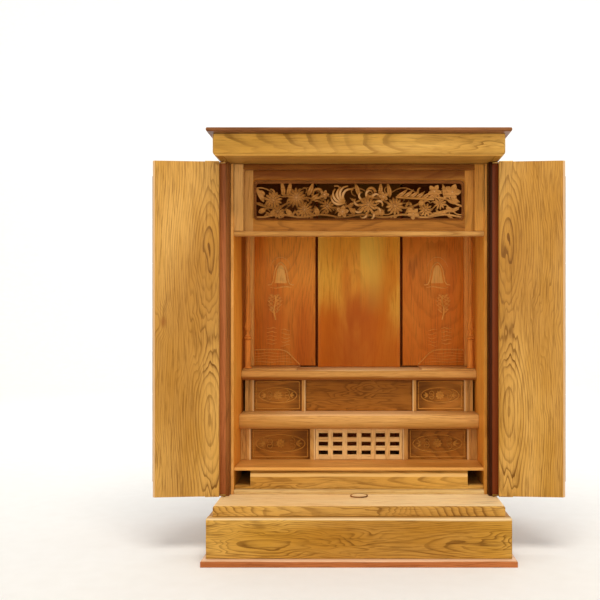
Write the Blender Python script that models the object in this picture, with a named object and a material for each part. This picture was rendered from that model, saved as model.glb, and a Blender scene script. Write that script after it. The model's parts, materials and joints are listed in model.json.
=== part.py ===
"""Household altar cabinet: a small wooden cabinet with bifold doors standing open.

The cabinet stands on a skirting and a plinth, its doors fold out of the way beside the
walls, and inside are a stepped altar, a lattice, turned columns and a carved transom.
Lengths are metres, +Z is up, the viewer stands at -Y, and the origin is on the floor
under the middle of the base.
"""

import math

import bmesh
import bpy
from mathutils import Matrix, Vector

# Fits
FIT = 0.0003                    # gap kept between pieces that touch
SLIDE_CLEARANCE = 0.0005        # gap beside and above what slides
SINK = 0.0001                   # how far two shapes that are joined run into each other
CUT_OVERRUN = 0.010             # how far a cutter runs past what it cuts

# Base
OVERALL_DEPTH = 0.340           # skirting front to skirting back
SKIRTING_HEIGHT = 0.0092
SKIRTING_STRIP_WIDTH = 0.030
SKIRTING_STEP_FRONT = 0.009     # how far the skirting stands out from the plinth
SKIRTING_STEP_SIDE = 0.006
SKIRTING_EDGE_RADIUS = 0.0022
PLINTH_HEIGHT = 0.0542
PLINTH_BOARD = 0.018
PLINTH_STEP_FRONT = 0.015       # how far the plinth stands out from the slab
PLINTH_STEP_SIDE = 0.007
PLINTH_EDGE_RADIUS = 0.0015
SLAB_THICKNESS = 0.0144
SLAB_EDGE_RADIUS = 0.003
SLAB_TERRACE = 0.067            # bare slab in front of the body

# Body
BODY_WIDTH = 0.404
BODY_HEIGHT = 0.4863
WALL = 0.013
WALL_EDGE_RADIUS = 0.0032
BACK_BOARD = 0.0047
BACK_BOARD_INSET = 0.0065       # inside the cornice's sides
BACK_RECESS = 0.005             # skirting and cap run past the back board by this much
CEILING_BOARD = 0.006

# Cornice and cap
CORNICE_OVERHANG = 0.058        # in front of the body
CORNICE_STEP_SIDE = 0.002
CORNICE_HEIGHT = 0.0289
CORNICE_BOARD = 0.013
CORNICE_EDGE_RADIUS = 0.0035
CAP_THICKNESS = 0.0055
CAP_STEP_FRONT = 0.015
CAP_STEP_SIDE = 0.0065
CAP_EDGE_RADIUS = 0.0016

# Lining and floor
LINING = 0.0042
LINING_RECESS = 0.0135          # lining front edge behind the body front
FLOOR_BOARD = 0.0062
FLOOR_EDGE_RADIUS = 0.0028

# Doors: two leaves a side, folded together and opened flat beside the walls
DOOR_THICKNESS = 0.013
DOOR_OPEN_ANGLE = 174.5         # degrees from shut
DOOR_GAP_WALL = 0.0005
DOOR_GAP_FOLD = 0.0005
DOOR_GAP_CENTRE = 0.001
DOOR_GAP_BOTTOM = 0.0036
DOOR_GAP_TOP = 0.0030
DOOR_EDGE_RADIUS = 0.0042
PIVOT_FORWARD = 0.0025          # pivot axis in front of the body front
PIVOT_PIN_RADIUS = 0.0014
PIVOT_ARM_HALF_WIDTH = 0.0016     # its corners turn inside PIVOT_FORWARD, clear of the wall
PIVOT_PLATE = 0.0013
PIVOT_PLATE_LENGTH = 0.020
PIVOT_PLATE_COVER = 0.7         # share of the door's thickness that the plate covers
PIVOT_PIN_REACH = 0.0035        # how far the pin reaches into its socket
PIVOT_SOCKET_DEPTH = 0.005
PIVOT_SOCKET_CLEARANCE = 0.0004
HINGE_BARREL_RADIUS = 0.0018
HINGE_BARREL_FORWARD = 0.0021   # barrel axis in front of the door's outer face
HINGE_PLATE = 0.0009
HINGE_PLATE_WIDTH = 0.010
HINGE_MARGIN = 0.020            # bare door above and below the hinge
HINGE_KNUCKLES = 7
HINGE_SIDES = 10

# Offering ledge, pull-out board and catch disc
LEDGE_THICKNESS = 0.0045
LEDGE_SETBACK = 0.0035          # behind the lining's front edge
LEDGE_EDGE_RADIUS = 0.0018
BOARD_SPACE = 0.028             # clear height between floor board and ledge
BOARD_FRONT_WIDTH = 0.3216
BOARD_FRONT_THICKNESS = 0.010
BOARD_FRONT_BEVEL = 0.0042
BOARD_THICKNESS = 0.0045
BOARD_DEPTH = 0.170
BOARD_SETBACK = 0.0075          # behind the lining's front edge
CATCH_DISC_RADIUS = 0.013
CATCH_DISC_THICKNESS = 0.0014
CATCH_DISC_SIDES = 24
CATCH_RING_WIDTH = 0.0022
CATCH_RING_DEPTH = 0.0005

# Stepped altar
LOWER_TIER_HEIGHT = 0.0492
LOWER_SHELF_THICKNESS = 0.0228
LOWER_SHELF_SETBACK = 0.0565    # behind the lining's front edge
LOWER_SHELF_EDGE_RADIUS = 0.0075
LOWER_TIER_SETBACK = 0.017      # tier front behind its shelf's front
UPPER_TIER_HEIGHT = 0.0504
UPPER_SHELF_THICKNESS = 0.0155
UPPER_SHELF_SETBACK = 0.0841
UPPER_SHELF_EDGE_RADIUS = 0.0068
UPPER_TIER_SETBACK = 0.0194
SHELF_PAD_THICKNESS = 0.002     # raised land at each end, under the columns
SHELF_PAD_WIDTH = 0.085
SHELF_PAD_SETBACK = 0.0165
TIER_POST_DEPTH = 0.010
POST_ARRIS = 0.001              # small bevel on the edges of posts and battens
TIER_PANEL_THICKNESS = 0.006
TIER_PANEL_RECESS = 0.0065      # panel face behind the post faces
LOWER_DIVIDER_WIDTH = 0.0085
LOWER_POST_WIDTH = 0.0157
LOWER_POST_STEP_WIDTH = 0.0098
LOWER_POST_STEP_DEPTH = 0.002
UPPER_DIVIDER_WIDTH = 0.0063
UPPER_DIVIDER_AT = 0.0850       # inner face of each divider from the middle
UPPER_POST_WIDTH = 0.0136
UPPER_POST_GAP = 0.0032         # dark slot between the post and the lining
UPPER_POST_GROOVE_WIDTH = 0.0032
UPPER_POST_GROOVE_DEPTH = 0.003
CARTOUCHE_DEPTH = 0.0015
LOWER_CARTOUCHE_WIDTH = 0.074
LOWER_CARTOUCHE_HEIGHT = 0.025
UPPER_CARTOUCHE_WIDTH = 0.058
UPPER_CARTOUCHE_HEIGHT = 0.022
CARTOUCHE_POINTS = 20

# Lattice of the lower tier
LATTICE_COLUMNS = 6
LATTICE_ROWS = 3
LATTICE_HOLE_WIDTH = 0.0146
LATTICE_BAR_WIDTH = 0.0076
LATTICE_SIDE_BORDER = 0.0049
LATTICE_HOLE_HEIGHT = 0.0064
LATTICE_BAR_HEIGHT = 0.0072
LATTICE_THICKNESS = 0.005
LATTICE_RECESS = 0.002

# Upper chamber
COLUMN_INSET = 0.0075           # column axis from the lining
COLUMN_SETBACK = 0.0215         # column axis behind the upper shelf's front
COLUMN_SHAFT_RADIUS = 0.0040
COLUMN_FOOT_RADIUS = 0.0063
COLUMN_FOOT_HEIGHT = 0.002
COLUMN_LOWER_RADIUS = 0.0056
COLUMN_LOWER_HEIGHT = 0.046
COLUMN_COLLAR_RADIUS = 0.0064
COLUMN_COLLAR_HEIGHT = 0.0062
COLUMN_NECK_RADIUS = 0.0030
COLUMN_NECK_HEIGHT = 0.0075
COLUMN_BULGE_RADIUS = 0.0054
COLUMN_BULGE_HEIGHT = 0.017
COLUMN_SLOPE = 0.3              # share of the collar's or neck's height in each slope
COLUMN_SIDES = 12
BATTEN_WIDTH = 0.0078
BATTEN_DEPTH = 0.012
WING_PANEL_THICKNESS = 0.008
WING_PANEL_SPACE = 0.026        # hollow between the wing panels and the back board
CENTRE_PANEL_WIDTH = 0.1378
CENTRE_PANEL_GAP = 0.0047       # dark gap each side of the centre panel
CENTRE_PANEL_THICKNESS = 0.010
CENTRE_PANEL_FORWARD = 0.004
CENTRE_BORDER_WIDTH = 0.0069
CENTRE_BEVEL_WIDTH = 0.0055
CENTRE_BORDER_HEIGHT = 0.0035

# Carved transom
SURROUND_THICKNESS = 0.010
SURROUND_SETBACK = 0.0022
SURROUND_TOP = 0.0077
SURROUND_SIDE = 0.0140
MOULDING_HEIGHT = 0.0073
MOULDING_DEPTH = 0.014
MOULDING_RADIUS = 0.003
TRANSOM_HEIGHT = 0.1063         # moulding underside to the top of the body
FRAME_THICKNESS = 0.008
FRAME_SIDE_RAIL = 0.0132
FRAME_TOP_RAIL = 0.0137
FRAME_BOTTOM_RAIL = 0.0173
FRAME_CORNER_RADIUS = 0.006
FRAME_CHAMFER = 0.0022
CARVING_THICKNESS = 0.0048
CARVING_LAP = 0.006             # hidden behind the frame
CARVING_BORDER = 0.0036         # seen inside the frame
CARVING_BORDER_SETBACK = 0.0004
CARVING_CORNER_RADIUS = 0.004
CARVING_PROPORTION = 5.88       # half width over half height at which its flowers are round
MOTIF_SETBACK = 0.00006         # front of the first motif behind the carving's face
MOTIF_STAGGER = 0.00003         # step between motifs, so that no two faces coincide
MOTIF_LEVELS = 23
MOTIF_RELIEF = 0.0008           # backs of the motifs in front of the border's back
STEM_WIDTH = 0.115              # this and the motifs' sizes are shares of the half height
STEM_OVERRUN = 1.06             # stems run this far, as a share, to end inside the border


def srgb(hex_colour):
    """Turn an sRGB hex colour into linear red, green, blue and alpha."""
    channels = [int(hex_colour[i:i + 2], 16) / 255 for i in (0, 2, 4)]
    linear = [c / 12.92 if c <= 0.04045 else ((c + 0.055) / 1.055) ** 2.4 for c in channels]
    return (*linear, 1.0)


def make_material(name, hex_colour, roughness, metallic=0.0):
    """Make one Principled material."""
    material = bpy.data.materials.new(name)
    material.use_nodes = True
    shader = material.node_tree.nodes["Principled BSDF"]
    shader.inputs["Base Color"].default_value = srgb(hex_colour)
    shader.inputs["Roughness"].default_value = roughness
    shader.inputs["Metallic"].default_value = metallic
    return material


def place(name, mesh_maker, material, location=(0, 0, 0), parent=None):
    """Turn a filled bmesh into a named object at a location."""
    mesh = bpy.data.meshes.new(name)
    bmesh.ops.recalc_face_normals(mesh_maker, faces=mesh_maker.faces)
    mesh_maker.to_mesh(mesh)
    mesh_maker.free()
    mesh.materials.append(material)
    item = bpy.data.objects.new(name, mesh)
    bpy.context.scene.collection.objects.link(item)
    item.parent = parent
    item.location = location
    return item


def edges_on(bm, low, high, corner):
    """Find the straight edge of a block that a corner name such as front_top describes."""
    sides = {
        "left": (0, low[0]), "right": (0, high[0]),
        "front": (1, low[1]), "back": (1, high[1]),
        "bottom": (2, low[2]), "top": (2, high[2]),
    }
    wanted = [sides[word] for word in corner.split("_")]
    return [
        edge for edge in bm.edges
        if all(abs(vert.co[axis] - value) < 1e-6 for vert in edge.verts for axis, value in wanted)
    ]


def block(size, rounded=(), radius=0.0, segments=2):
    """A rectangular block about its own middle, with some of its edges rounded."""
    bm = bmesh.new()
    bmesh.ops.create_cube(bm, size=1.0, matrix=Matrix.Diagonal((*size, 1.0)))
    low = [-side / 2 for side in size]
    high = [side / 2 for side in size]
    edges = [edge for corner in rounded for edge in edges_on(bm, low, high, corner)]
    if edges and radius > 0:
        bmesh.ops.bevel(
            bm, geom=edges, offset=radius, segments=segments, affect="EDGES", profile=0.5,
        )
    return bm


def board(name, x, y, z, material, rounded=(), radius=0.0, segments=2, parent=None):
    """A board between two values on each axis."""
    size = (x[1] - x[0], y[1] - y[0], z[1] - z[0])
    middle = ((x[0] + x[1]) / 2, (y[0] + y[1]) / 2, (z[0] + z[1]) / 2)
    return place(name, block(size, rounded, radius, segments), material, middle, parent)


def add_prism(bm, outline, y_front, y_back):
    """Add a closed prism to a bmesh: an outline in X and Z, run from front to back."""
    front = [bm.verts.new((x, y_front, z)) for x, z in outline]
    back = [bm.verts.new((x, y_back, z)) for x, z in outline]
    faces = [bm.faces.new(front), bm.faces.new(list(reversed(back)))]
    for i in range(len(outline)):
        j = (i + 1) % len(outline)
        faces.append(bm.faces.new((front[j], front[i], back[i], back[j])))
    bmesh.ops.recalc_face_normals(bm, faces=faces)
    bmesh.ops.triangulate(bm, faces=faces[:2])


def add_loft(bm, loops):
    """Add a closed solid through matching loops of points."""
    rings = [[bm.verts.new(point) for point in loop] for loop in loops]
    faces = [bm.faces.new(rings[0]), bm.faces.new(list(reversed(rings[-1])))]
    for ring, following in zip(rings, rings[1:]):
        for i in range(len(ring)):
            j = (i + 1) % len(ring)
            faces.append(bm.faces.new((ring[j], ring[i], following[i], following[j])))
    bmesh.ops.recalc_face_normals(bm, faces=faces)


def add_rod(bm, centre, radius, z_low, z_high, sides=12):
    """Add an upright round rod."""
    matrix = Matrix.Translation((centre[0], centre[1], (z_low + z_high) / 2))
    bmesh.ops.create_cone(
        bm, cap_ends=True, segments=sides, radius1=radius, radius2=radius,
        depth=z_high - z_low, matrix=matrix,
    )


def add_block(bm, low, high):
    """Add a rectangular block between two corners."""
    size = [b - a for a, b in zip(low, high)]
    middle = [(a + b) / 2 for a, b in zip(low, high)]
    matrix = Matrix.Translation(middle) @ Matrix.Diagonal((*size, 1.0))
    bmesh.ops.create_cube(bm, size=1.0, matrix=matrix)


def cutter(name, bm):
    """A hidden shape that other pieces are cut or joined with."""
    mesh = bpy.data.meshes.new(name)
    bmesh.ops.recalc_face_normals(bm, faces=bm.faces)
    bm.to_mesh(mesh)
    bm.free()
    item = bpy.data.objects.new(name, mesh)
    bpy.context.scene.collection.objects.link(item)
    item.hide_render = True
    item.display_type = "WIRE"
    return item


def combine(item, other, operation, use_self=False):
    """Cut an object with another one, or join the two into one body."""
    modifier = item.modifiers.new(operation.title(), "BOOLEAN")
    modifier.operation = operation
    modifier.solver = "EXACT"
    modifier.use_self = use_self
    modifier.object = other


def rounded_rectangle(half_width, z_low, z_high, radius, y, steps=4):
    """Points of an upright rectangle with round corners, at one depth."""
    points = []
    corners = (
        (half_width - radius, z_high - radius, 0),
        (-half_width + radius, z_high - radius, 90),
        (-half_width + radius, z_low + radius, 180),
        (half_width - radius, z_low + radius, 270),
    )
    for x, z, start in corners:
        for step in range(steps + 1):
            angle = math.radians(start + 90 * step / steps)
            points.append((x + radius * math.cos(angle), y, z + radius * math.sin(angle)))
    return points


def oval_with_points(centre_x, centre_z, width, height, count):
    """A low oval whose two ends are drawn out to soft points."""
    points = []
    for i in range(count):
        angle = 2 * math.pi * i / count
        swell = abs(math.sin(angle)) ** 0.25
        points.append((
            centre_x + width / 2 * math.cos(angle),
            centre_z + height / 2 * math.sin(angle) * swell,
        ))
    return points


for old in list(bpy.data.objects):
    bpy.data.objects.remove(old, do_unlink=True)

golden_wood = make_material("golden_wood", "C8913C", 0.34)
figured_wood = make_material("figured_wood", "BE822D", 0.32)
slab_wood = make_material("slab_wood", "E6B684", 0.30)
light_wood = make_material("light_wood", "CD9A55", 0.38)
orange_wood = make_material("orange_wood", "BE691E", 0.36)
panel_wood = make_material("panel_wood", "B45F1E", 0.42)
red_wood = make_material("red_wood", "9E4A2A", 0.30)
back_wood = make_material("back_wood", "9A6A3A", 0.60)
brass = make_material("brass", "B08A3C", 0.35, 1.0)

# Heights, from the floor up
plinth_bottom = SKIRTING_HEIGHT + FIT
plinth_top = plinth_bottom + PLINTH_HEIGHT
slab_bottom = plinth_top + FIT
slab_top = slab_bottom + SLAB_THICKNESS
body_bottom = slab_top + FIT
body_top = body_bottom + BODY_HEIGHT
cornice_bottom = body_top + FIT
cornice_top = cornice_bottom + CORNICE_HEIGHT
cap_bottom = cornice_top + FIT
cap_top = cap_bottom + CAP_THICKNESS
floor_top = body_bottom + FLOOR_BOARD

# Half widths, from the body out
body_half = BODY_WIDTH / 2
plinth_half = body_half + PLINTH_STEP_SIDE
skirting_half = plinth_half + SKIRTING_STEP_SIDE
cornice_half = body_half + CORNICE_STEP_SIDE
cap_half = cornice_half + CAP_STEP_SIDE
opening_half = body_half - WALL
inner_half = opening_half - FIT - LINING
between_linings = inner_half - FIT

# Depths, from the front back
front = -OVERALL_DEPTH / 2
back = OVERALL_DEPTH / 2
plinth_front_y = front + SKIRTING_STEP_FRONT
slab_front_y = plinth_front_y + PLINTH_STEP_FRONT
body_front_y = slab_front_y + SLAB_TERRACE
cornice_front_y = body_front_y - CORNICE_OVERHANG
cap_front_y = cornice_front_y - CAP_STEP_FRONT
board_back_y = back - BACK_RECESS
carcass_back_y = board_back_y - BACK_BOARD - FIT
lining_front_y = body_front_y + LINING_RECESS


def build_base():
    """Skirting strips, plinth boards and the slab that the body stands on."""
    strip_back = front + SKIRTING_STRIP_WIDTH
    board(
        "skirting_front", (-skirting_half, skirting_half), (front, strip_back),
        (0, SKIRTING_HEIGHT), red_wood, ("front_top", "left_top", "right_top"),
        SKIRTING_EDGE_RADIUS,
    )
    for side, sign in (("left", -1), ("right", 1)):
        edges = sorted((sign * skirting_half, sign * (skirting_half - SKIRTING_STRIP_WIDTH)))
        board(
            f"skirting_{side}", edges, (strip_back + FIT, back), (0, SKIRTING_HEIGHT),
            red_wood, (f"{side}_top",), SKIRTING_EDGE_RADIUS,
        )
    plinth_back_of_front = plinth_front_y + PLINTH_BOARD
    board(
        "plinth_front", (-plinth_half, plinth_half), (plinth_front_y, plinth_back_of_front),
        (plinth_bottom, plinth_top), figured_wood,
        ("front_top", "front_left", "front_right"), PLINTH_EDGE_RADIUS,
    )
    for side, sign in (("left", -1), ("right", 1)):
        edges = sorted((sign * plinth_half, sign * (plinth_half - PLINTH_BOARD)))
        board(
            f"plinth_{side}", edges, (plinth_back_of_front + FIT, carcass_back_y),
            (plinth_bottom, plinth_top), figured_wood, (f"{side}_top",), PLINTH_EDGE_RADIUS,
        )
    slab = board(
        "base_slab", (-body_half, body_half), (slab_front_y, carcass_back_y),
        (slab_bottom, slab_top), slab_wood, ("front_top", "left_top", "right_top"),
        SLAB_EDGE_RADIUS, 3,
    )
    combine(slab, pivot_sockets("slab_sockets", slab_top), "DIFFERENCE")


def build_carcass():
    """Walls, back board and ceiling board."""
    for side, sign in (("left", -1), ("right", 1)):
        edges = sorted((sign * body_half, sign * opening_half))
        board(
            f"wall_{side}", edges, (body_front_y, carcass_back_y), (body_bottom, body_top),
            red_wood, ("front_left", "front_right"), WALL_EDGE_RADIUS, 3,
        )
    board(
        "back_board", (-cornice_half + BACK_BOARD_INSET, cornice_half - BACK_BOARD_INSET),
        (carcass_back_y + FIT, board_back_y), (plinth_bottom, cornice_top), back_wood,
    )
    board(
        "ceiling_board",
        (-cornice_half + CORNICE_BOARD + FIT, cornice_half - CORNICE_BOARD - FIT),
        (cornice_front_y + CORNICE_BOARD + FIT, carcass_back_y),
        (cornice_bottom, cornice_bottom + CEILING_BOARD), golden_wood,
    )


def pivot_x(sign):
    """The door pivot sits over the middle of the wall's front edge."""
    return sign * (opening_half + WALL / 2)


pivot_y = body_front_y - PIVOT_FORWARD
door_bottom = slab_top + DOOR_GAP_BOTTOM
door_top = cornice_bottom - DOOR_GAP_TOP
door_total_gap = 2 * DOOR_GAP_WALL + 2 * DOOR_GAP_FOLD + DOOR_GAP_CENTRE
leaf_width = (2 * opening_half - door_total_gap) / 4


def pivot_sockets(name, level, sides=(-1, 1)):
    """Round sockets for the door pivots, centred on a level so that they cut either way."""
    bm = bmesh.new()
    for sign in sides:
        add_rod(
            bm, (pivot_x(sign), pivot_y), PIVOT_PIN_RADIUS + PIVOT_SOCKET_CLEARANCE,
            level - PIVOT_SOCKET_DEPTH, level + PIVOT_SOCKET_DEPTH,
        )
    return cutter(name, bm)


def build_cornice():
    """Three mitre-plain boards round the top, and the cap over them."""
    board_back = cornice_front_y + CORNICE_BOARD
    board(
        "cornice_front", (-cornice_half, cornice_half), (cornice_front_y, board_back),
        (cornice_bottom, cornice_top), figured_wood,
        ("front_bottom", "front_left", "front_right", "left_bottom", "right_bottom"),
        CORNICE_EDGE_RADIUS,
    )
    for side, sign in (("left", -1), ("right", 1)):
        edges = sorted((sign * cornice_half, sign * (cornice_half - CORNICE_BOARD)))
        item = board(
            f"cornice_{side}", edges, (board_back + FIT, carcass_back_y),
            (cornice_bottom, cornice_top), figured_wood, (f"{side}_bottom",),
            CORNICE_EDGE_RADIUS,
        )
        sockets = pivot_sockets(f"cornice_socket_{side}", cornice_bottom, (sign,))
        combine(item, sockets, "DIFFERENCE")
    board(
        "cap_board", (-cap_half, cap_half), (cap_front_y, back), (cap_bottom, cap_top),
        red_wood,
        ("front_bottom", "left_bottom", "right_bottom", "front_top", "left_top", "right_top"),
        CAP_EDGE_RADIUS,
    )


def build_lining():
    """Inner side panels and the floor board with its rounded sill."""
    for side, sign in (("left", -1), ("right", 1)):
        edges = sorted((sign * (opening_half - FIT), sign * inner_half))
        board(
            f"lining_{side}", edges, (lining_front_y, carcass_back_y),
            (body_bottom, body_top), orange_wood,
        )
    board(
        "floor_board", (-between_linings, between_linings), (lining_front_y, carcass_back_y),
        (body_bottom, floor_top), light_wood, ("front_top",), FLOOR_EDGE_RADIUS, 3,
    )


board_space_top = floor_top + BOARD_SPACE
ledge_bottom = board_space_top
ledge_top = ledge_bottom + LEDGE_THICKNESS
lower_tier_top = ledge_top + LOWER_TIER_HEIGHT
lower_shelf_bottom = lower_tier_top + FIT
lower_shelf_top = lower_shelf_bottom + LOWER_SHELF_THICKNESS
upper_tier_top = lower_shelf_top + UPPER_TIER_HEIGHT
upper_shelf_bottom = upper_tier_top + FIT
upper_shelf_top = upper_shelf_bottom + UPPER_SHELF_THICKNESS
pad_top = upper_shelf_top + SHELF_PAD_THICKNESS

ledge_front_y = lining_front_y + LEDGE_SETBACK
lower_shelf_front_y = lining_front_y + LOWER_SHELF_SETBACK
lower_tier_front_y = lower_shelf_front_y + LOWER_TIER_SETBACK
upper_shelf_front_y = lining_front_y + UPPER_SHELF_SETBACK
upper_tier_front_y = upper_shelf_front_y + UPPER_TIER_SETBACK
wing_back_y = carcass_back_y - WING_PANEL_SPACE
wing_front_y = wing_back_y - WING_PANEL_THICKNESS


def build_pull_out_board():
    """Offering ledge, the pull-out board under it, and the catch disc in the terrace."""
    board(
        "offering_ledge", (-between_linings, between_linings), (ledge_front_y, wing_back_y),
        (ledge_bottom, ledge_top), orange_wood, ("front_top",), LEDGE_EDGE_RADIUS,
    )
    half = inner_half - SLIDE_CLEARANCE
    low = floor_top + FIT
    high = ledge_bottom - SLIDE_CLEARANCE
    y_low = lining_front_y + BOARD_SETBACK
    bm = bmesh.new()
    outline = [
        (y_low, low), (y_low, high - BOARD_FRONT_BEVEL),
        (y_low + BOARD_FRONT_BEVEL, high), (y_low + BOARD_FRONT_THICKNESS, high),
        (y_low + BOARD_FRONT_THICKNESS, low),
    ]
    loops = [
        [(sign * BOARD_FRONT_WIDTH / 2, y, z) for y, z in outline] for sign in (-1, 1)
    ]
    add_loft(bm, loops)
    joined = cutter("pull_out_front", bm)
    item = board(
        "pull_out_board", (-half, half), (y_low + FIT, y_low + BOARD_DEPTH),
        (low + FIT, low + FIT + BOARD_THICKNESS), golden_wood,
    )
    combine(item, joined, "UNION")

    bm = bmesh.new()
    add_rod(bm, (0, 0), CATCH_DISC_RADIUS, 0, CATCH_DISC_THICKNESS, CATCH_DISC_SIDES)
    disc = place("catch_disc", bm, brass, (0, body_front_y, slab_top + FIT))
    bm = bmesh.new()
    add_rod(
        bm, (0, body_front_y), CATCH_DISC_RADIUS - CATCH_RING_WIDTH,
        slab_top + FIT + CATCH_DISC_THICKNESS - CATCH_RING_DEPTH,
        slab_top + 2 * CATCH_DISC_THICKNESS, CATCH_DISC_SIDES,
    )
    combine(disc, cutter("catch_disc_recess", bm), "DIFFERENCE")


def shelf(name, front_y, z_low, z_high, radius, material):
    """A full-width shelf with a bull-nosed front edge."""
    return board(
        name, (-between_linings, between_linings), (front_y, wing_back_y), (z_low, z_high),
        material, ("front_top", "front_bottom"), radius, 4,
    )


def cartouche_panel(name, sign, x_inner, x_outer, y_face, z_low, z_high, width, height):
    """A thin panel with a shallow sunk oval, between a divider and a post."""
    edges = sorted((sign * x_inner, sign * x_outer))
    item = board(
        name, edges, (y_face, y_face + TIER_PANEL_THICKNESS), (z_low, z_high), panel_wood,
    )
    bm = bmesh.new()
    outline = oval_with_points(
        (edges[0] + edges[1]) / 2, (z_low + z_high) / 2, width, height, CARTOUCHE_POINTS,
    )
    add_prism(bm, outline, y_face - CARTOUCHE_DEPTH, y_face + CARTOUCHE_DEPTH)
    combine(item, cutter(f"{name}_oval", bm), "DIFFERENCE")


def build_lower_tier():
    """The tier under the lower shelf: dividers, posts, side panels and the lattice."""
    low, high = ledge_top + FIT, lower_tier_top
    y_front = lower_tier_front_y
    lattice_half = (
        LATTICE_COLUMNS * LATTICE_HOLE_WIDTH + (LATTICE_COLUMNS - 1) * LATTICE_BAR_WIDTH
    ) / 2 + LATTICE_SIDE_BORDER
    divider_in = lattice_half + FIT
    divider_out = divider_in + LOWER_DIVIDER_WIDTH
    post_in = between_linings - LOWER_POST_WIDTH
    panel_y = y_front + TIER_PANEL_RECESS
    for side, sign in (("left", -1), ("right", 1)):
        board(
            f"lower_divider_{side}", sorted((sign * divider_in, sign * divider_out)),
            (y_front, y_front + TIER_POST_DEPTH), (low, high), light_wood,
            ("front_left", "front_right"), POST_ARRIS, 1,
        )
        step_x = between_linings - LOWER_POST_STEP_WIDTH
        y_step = y_front + LOWER_POST_STEP_DEPTH
        y_back = y_front + TIER_POST_DEPTH
        plan = [
            (post_in, y_front), (step_x, y_front), (step_x, y_step),
            (between_linings, y_step), (between_linings, y_back), (post_in, y_back),
        ]
        bm = bmesh.new()
        add_loft(bm, [[(sign * x, y, z) for x, y in plan] for z in (low, high)])
        place(f"lower_post_{side}", bm, light_wood)
        cartouche_panel(
            f"lower_panel_{side}", sign, divider_out + FIT, post_in - FIT, panel_y, low, high,
            LOWER_CARTOUCHE_WIDTH, LOWER_CARTOUCHE_HEIGHT,
        )
    build_lattice(lattice_half, y_front + LATTICE_RECESS, low, high)


def build_lattice(half, y_face, low, high):
    """A flat grille: a grid of cells with the holes left out, made thick."""
    holes_height = LATTICE_ROWS * LATTICE_HOLE_HEIGHT + (LATTICE_ROWS - 1) * LATTICE_BAR_HEIGHT
    top_border = (high - low - holes_height) / 2
    xs = [-half, -half + LATTICE_SIDE_BORDER]
    for column in range(LATTICE_COLUMNS):
        xs.append(xs[-1] + LATTICE_HOLE_WIDTH)
        xs.append(xs[-1] + (LATTICE_BAR_WIDTH if column < LATTICE_COLUMNS - 1
                            else LATTICE_SIDE_BORDER))
    zs = [low, low + top_border]
    for row in range(LATTICE_ROWS):
        zs.append(zs[-1] + LATTICE_HOLE_HEIGHT)
        zs.append(zs[-1] + (LATTICE_BAR_HEIGHT if row < LATTICE_ROWS - 1 else top_border))
    bm = bmesh.new()
    grid = [[bm.verts.new((x, y_face, z)) for z in zs] for x in xs]
    for i in range(len(xs) - 1):
        for j in range(len(zs) - 1):
            if i % 2 == 1 and j % 2 == 1:
                continue
            bm.faces.new((grid[i][j], grid[i + 1][j], grid[i + 1][j + 1], grid[i][j + 1]))
    grown = bmesh.ops.extrude_face_region(bm, geom=list(bm.faces))
    moved = [item for item in grown["geom"] if isinstance(item, bmesh.types.BMVert)]
    bmesh.ops.translate(bm, verts=moved, vec=(0, LATTICE_THICKNESS, 0))
    place("lattice", bm, light_wood)


def build_upper_tier():
    """The tier under the upper shelf: dividers, grooved posts and three panels."""
    low, high = lower_shelf_top + FIT, upper_tier_top
    y_front = upper_tier_front_y
    y_back = y_front + TIER_POST_DEPTH
    panel_y = y_front + TIER_PANEL_RECESS
    divider_out = UPPER_DIVIDER_AT + UPPER_DIVIDER_WIDTH
    post_out = between_linings - UPPER_POST_GAP
    post_in = post_out - UPPER_POST_WIDTH
    groove_in = (post_in + post_out - UPPER_POST_GROOVE_WIDTH) / 2
    groove_out = groove_in + UPPER_POST_GROOVE_WIDTH
    y_groove = y_front + UPPER_POST_GROOVE_DEPTH
    for side, sign in (("left", -1), ("right", 1)):
        board(
            f"upper_divider_{side}", sorted((sign * UPPER_DIVIDER_AT, sign * divider_out)),
            (y_front, y_back), (low, high), light_wood, ("front_left", "front_right"),
            POST_ARRIS, 1,
        )
        plan = [
            (post_in, y_front), (groove_in, y_front), (groove_in, y_groove),
            (groove_out, y_groove), (groove_out, y_front), (post_out, y_front),
            (post_out, y_back), (post_in, y_back),
        ]
        bm = bmesh.new()
        add_loft(bm, [[(sign * x, y, z) for x, y in plan] for z in (low, high)])
        place(f"upper_post_{side}", bm, light_wood)
        cartouche_panel(
            f"upper_panel_{side}", sign, divider_out + FIT, post_in - FIT, panel_y, low, high,
            UPPER_CARTOUCHE_WIDTH, UPPER_CARTOUCHE_HEIGHT,
        )
    board(
        "upper_panel_centre", (-UPPER_DIVIDER_AT + FIT, UPPER_DIVIDER_AT - FIT),
        (panel_y, panel_y + TIER_PANEL_THICKNESS), (low, high), panel_wood,
    )


def build_shelves():
    """The two bull-nosed shelves; the upper one has a raised land at each end."""
    shelf("lower_shelf", lower_shelf_front_y, lower_shelf_bottom, lower_shelf_top,
          LOWER_SHELF_EDGE_RADIUS, golden_wood)
    item = shelf("upper_shelf", upper_shelf_front_y, upper_shelf_bottom, upper_shelf_top,
                 UPPER_SHELF_EDGE_RADIUS, orange_wood)
    bm = bmesh.new()
    y_low = upper_shelf_front_y + SHELF_PAD_SETBACK
    for sign in (-1, 1):
        edges = sorted((sign * between_linings, sign * (between_linings - SHELF_PAD_WIDTH)))
        add_block(
            bm, (edges[0], y_low, upper_shelf_top - SHELF_PAD_THICKNESS),
            (edges[1], wing_back_y, pad_top),
        )
    combine(item, cutter("shelf_pads", bm), "UNION")


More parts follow.
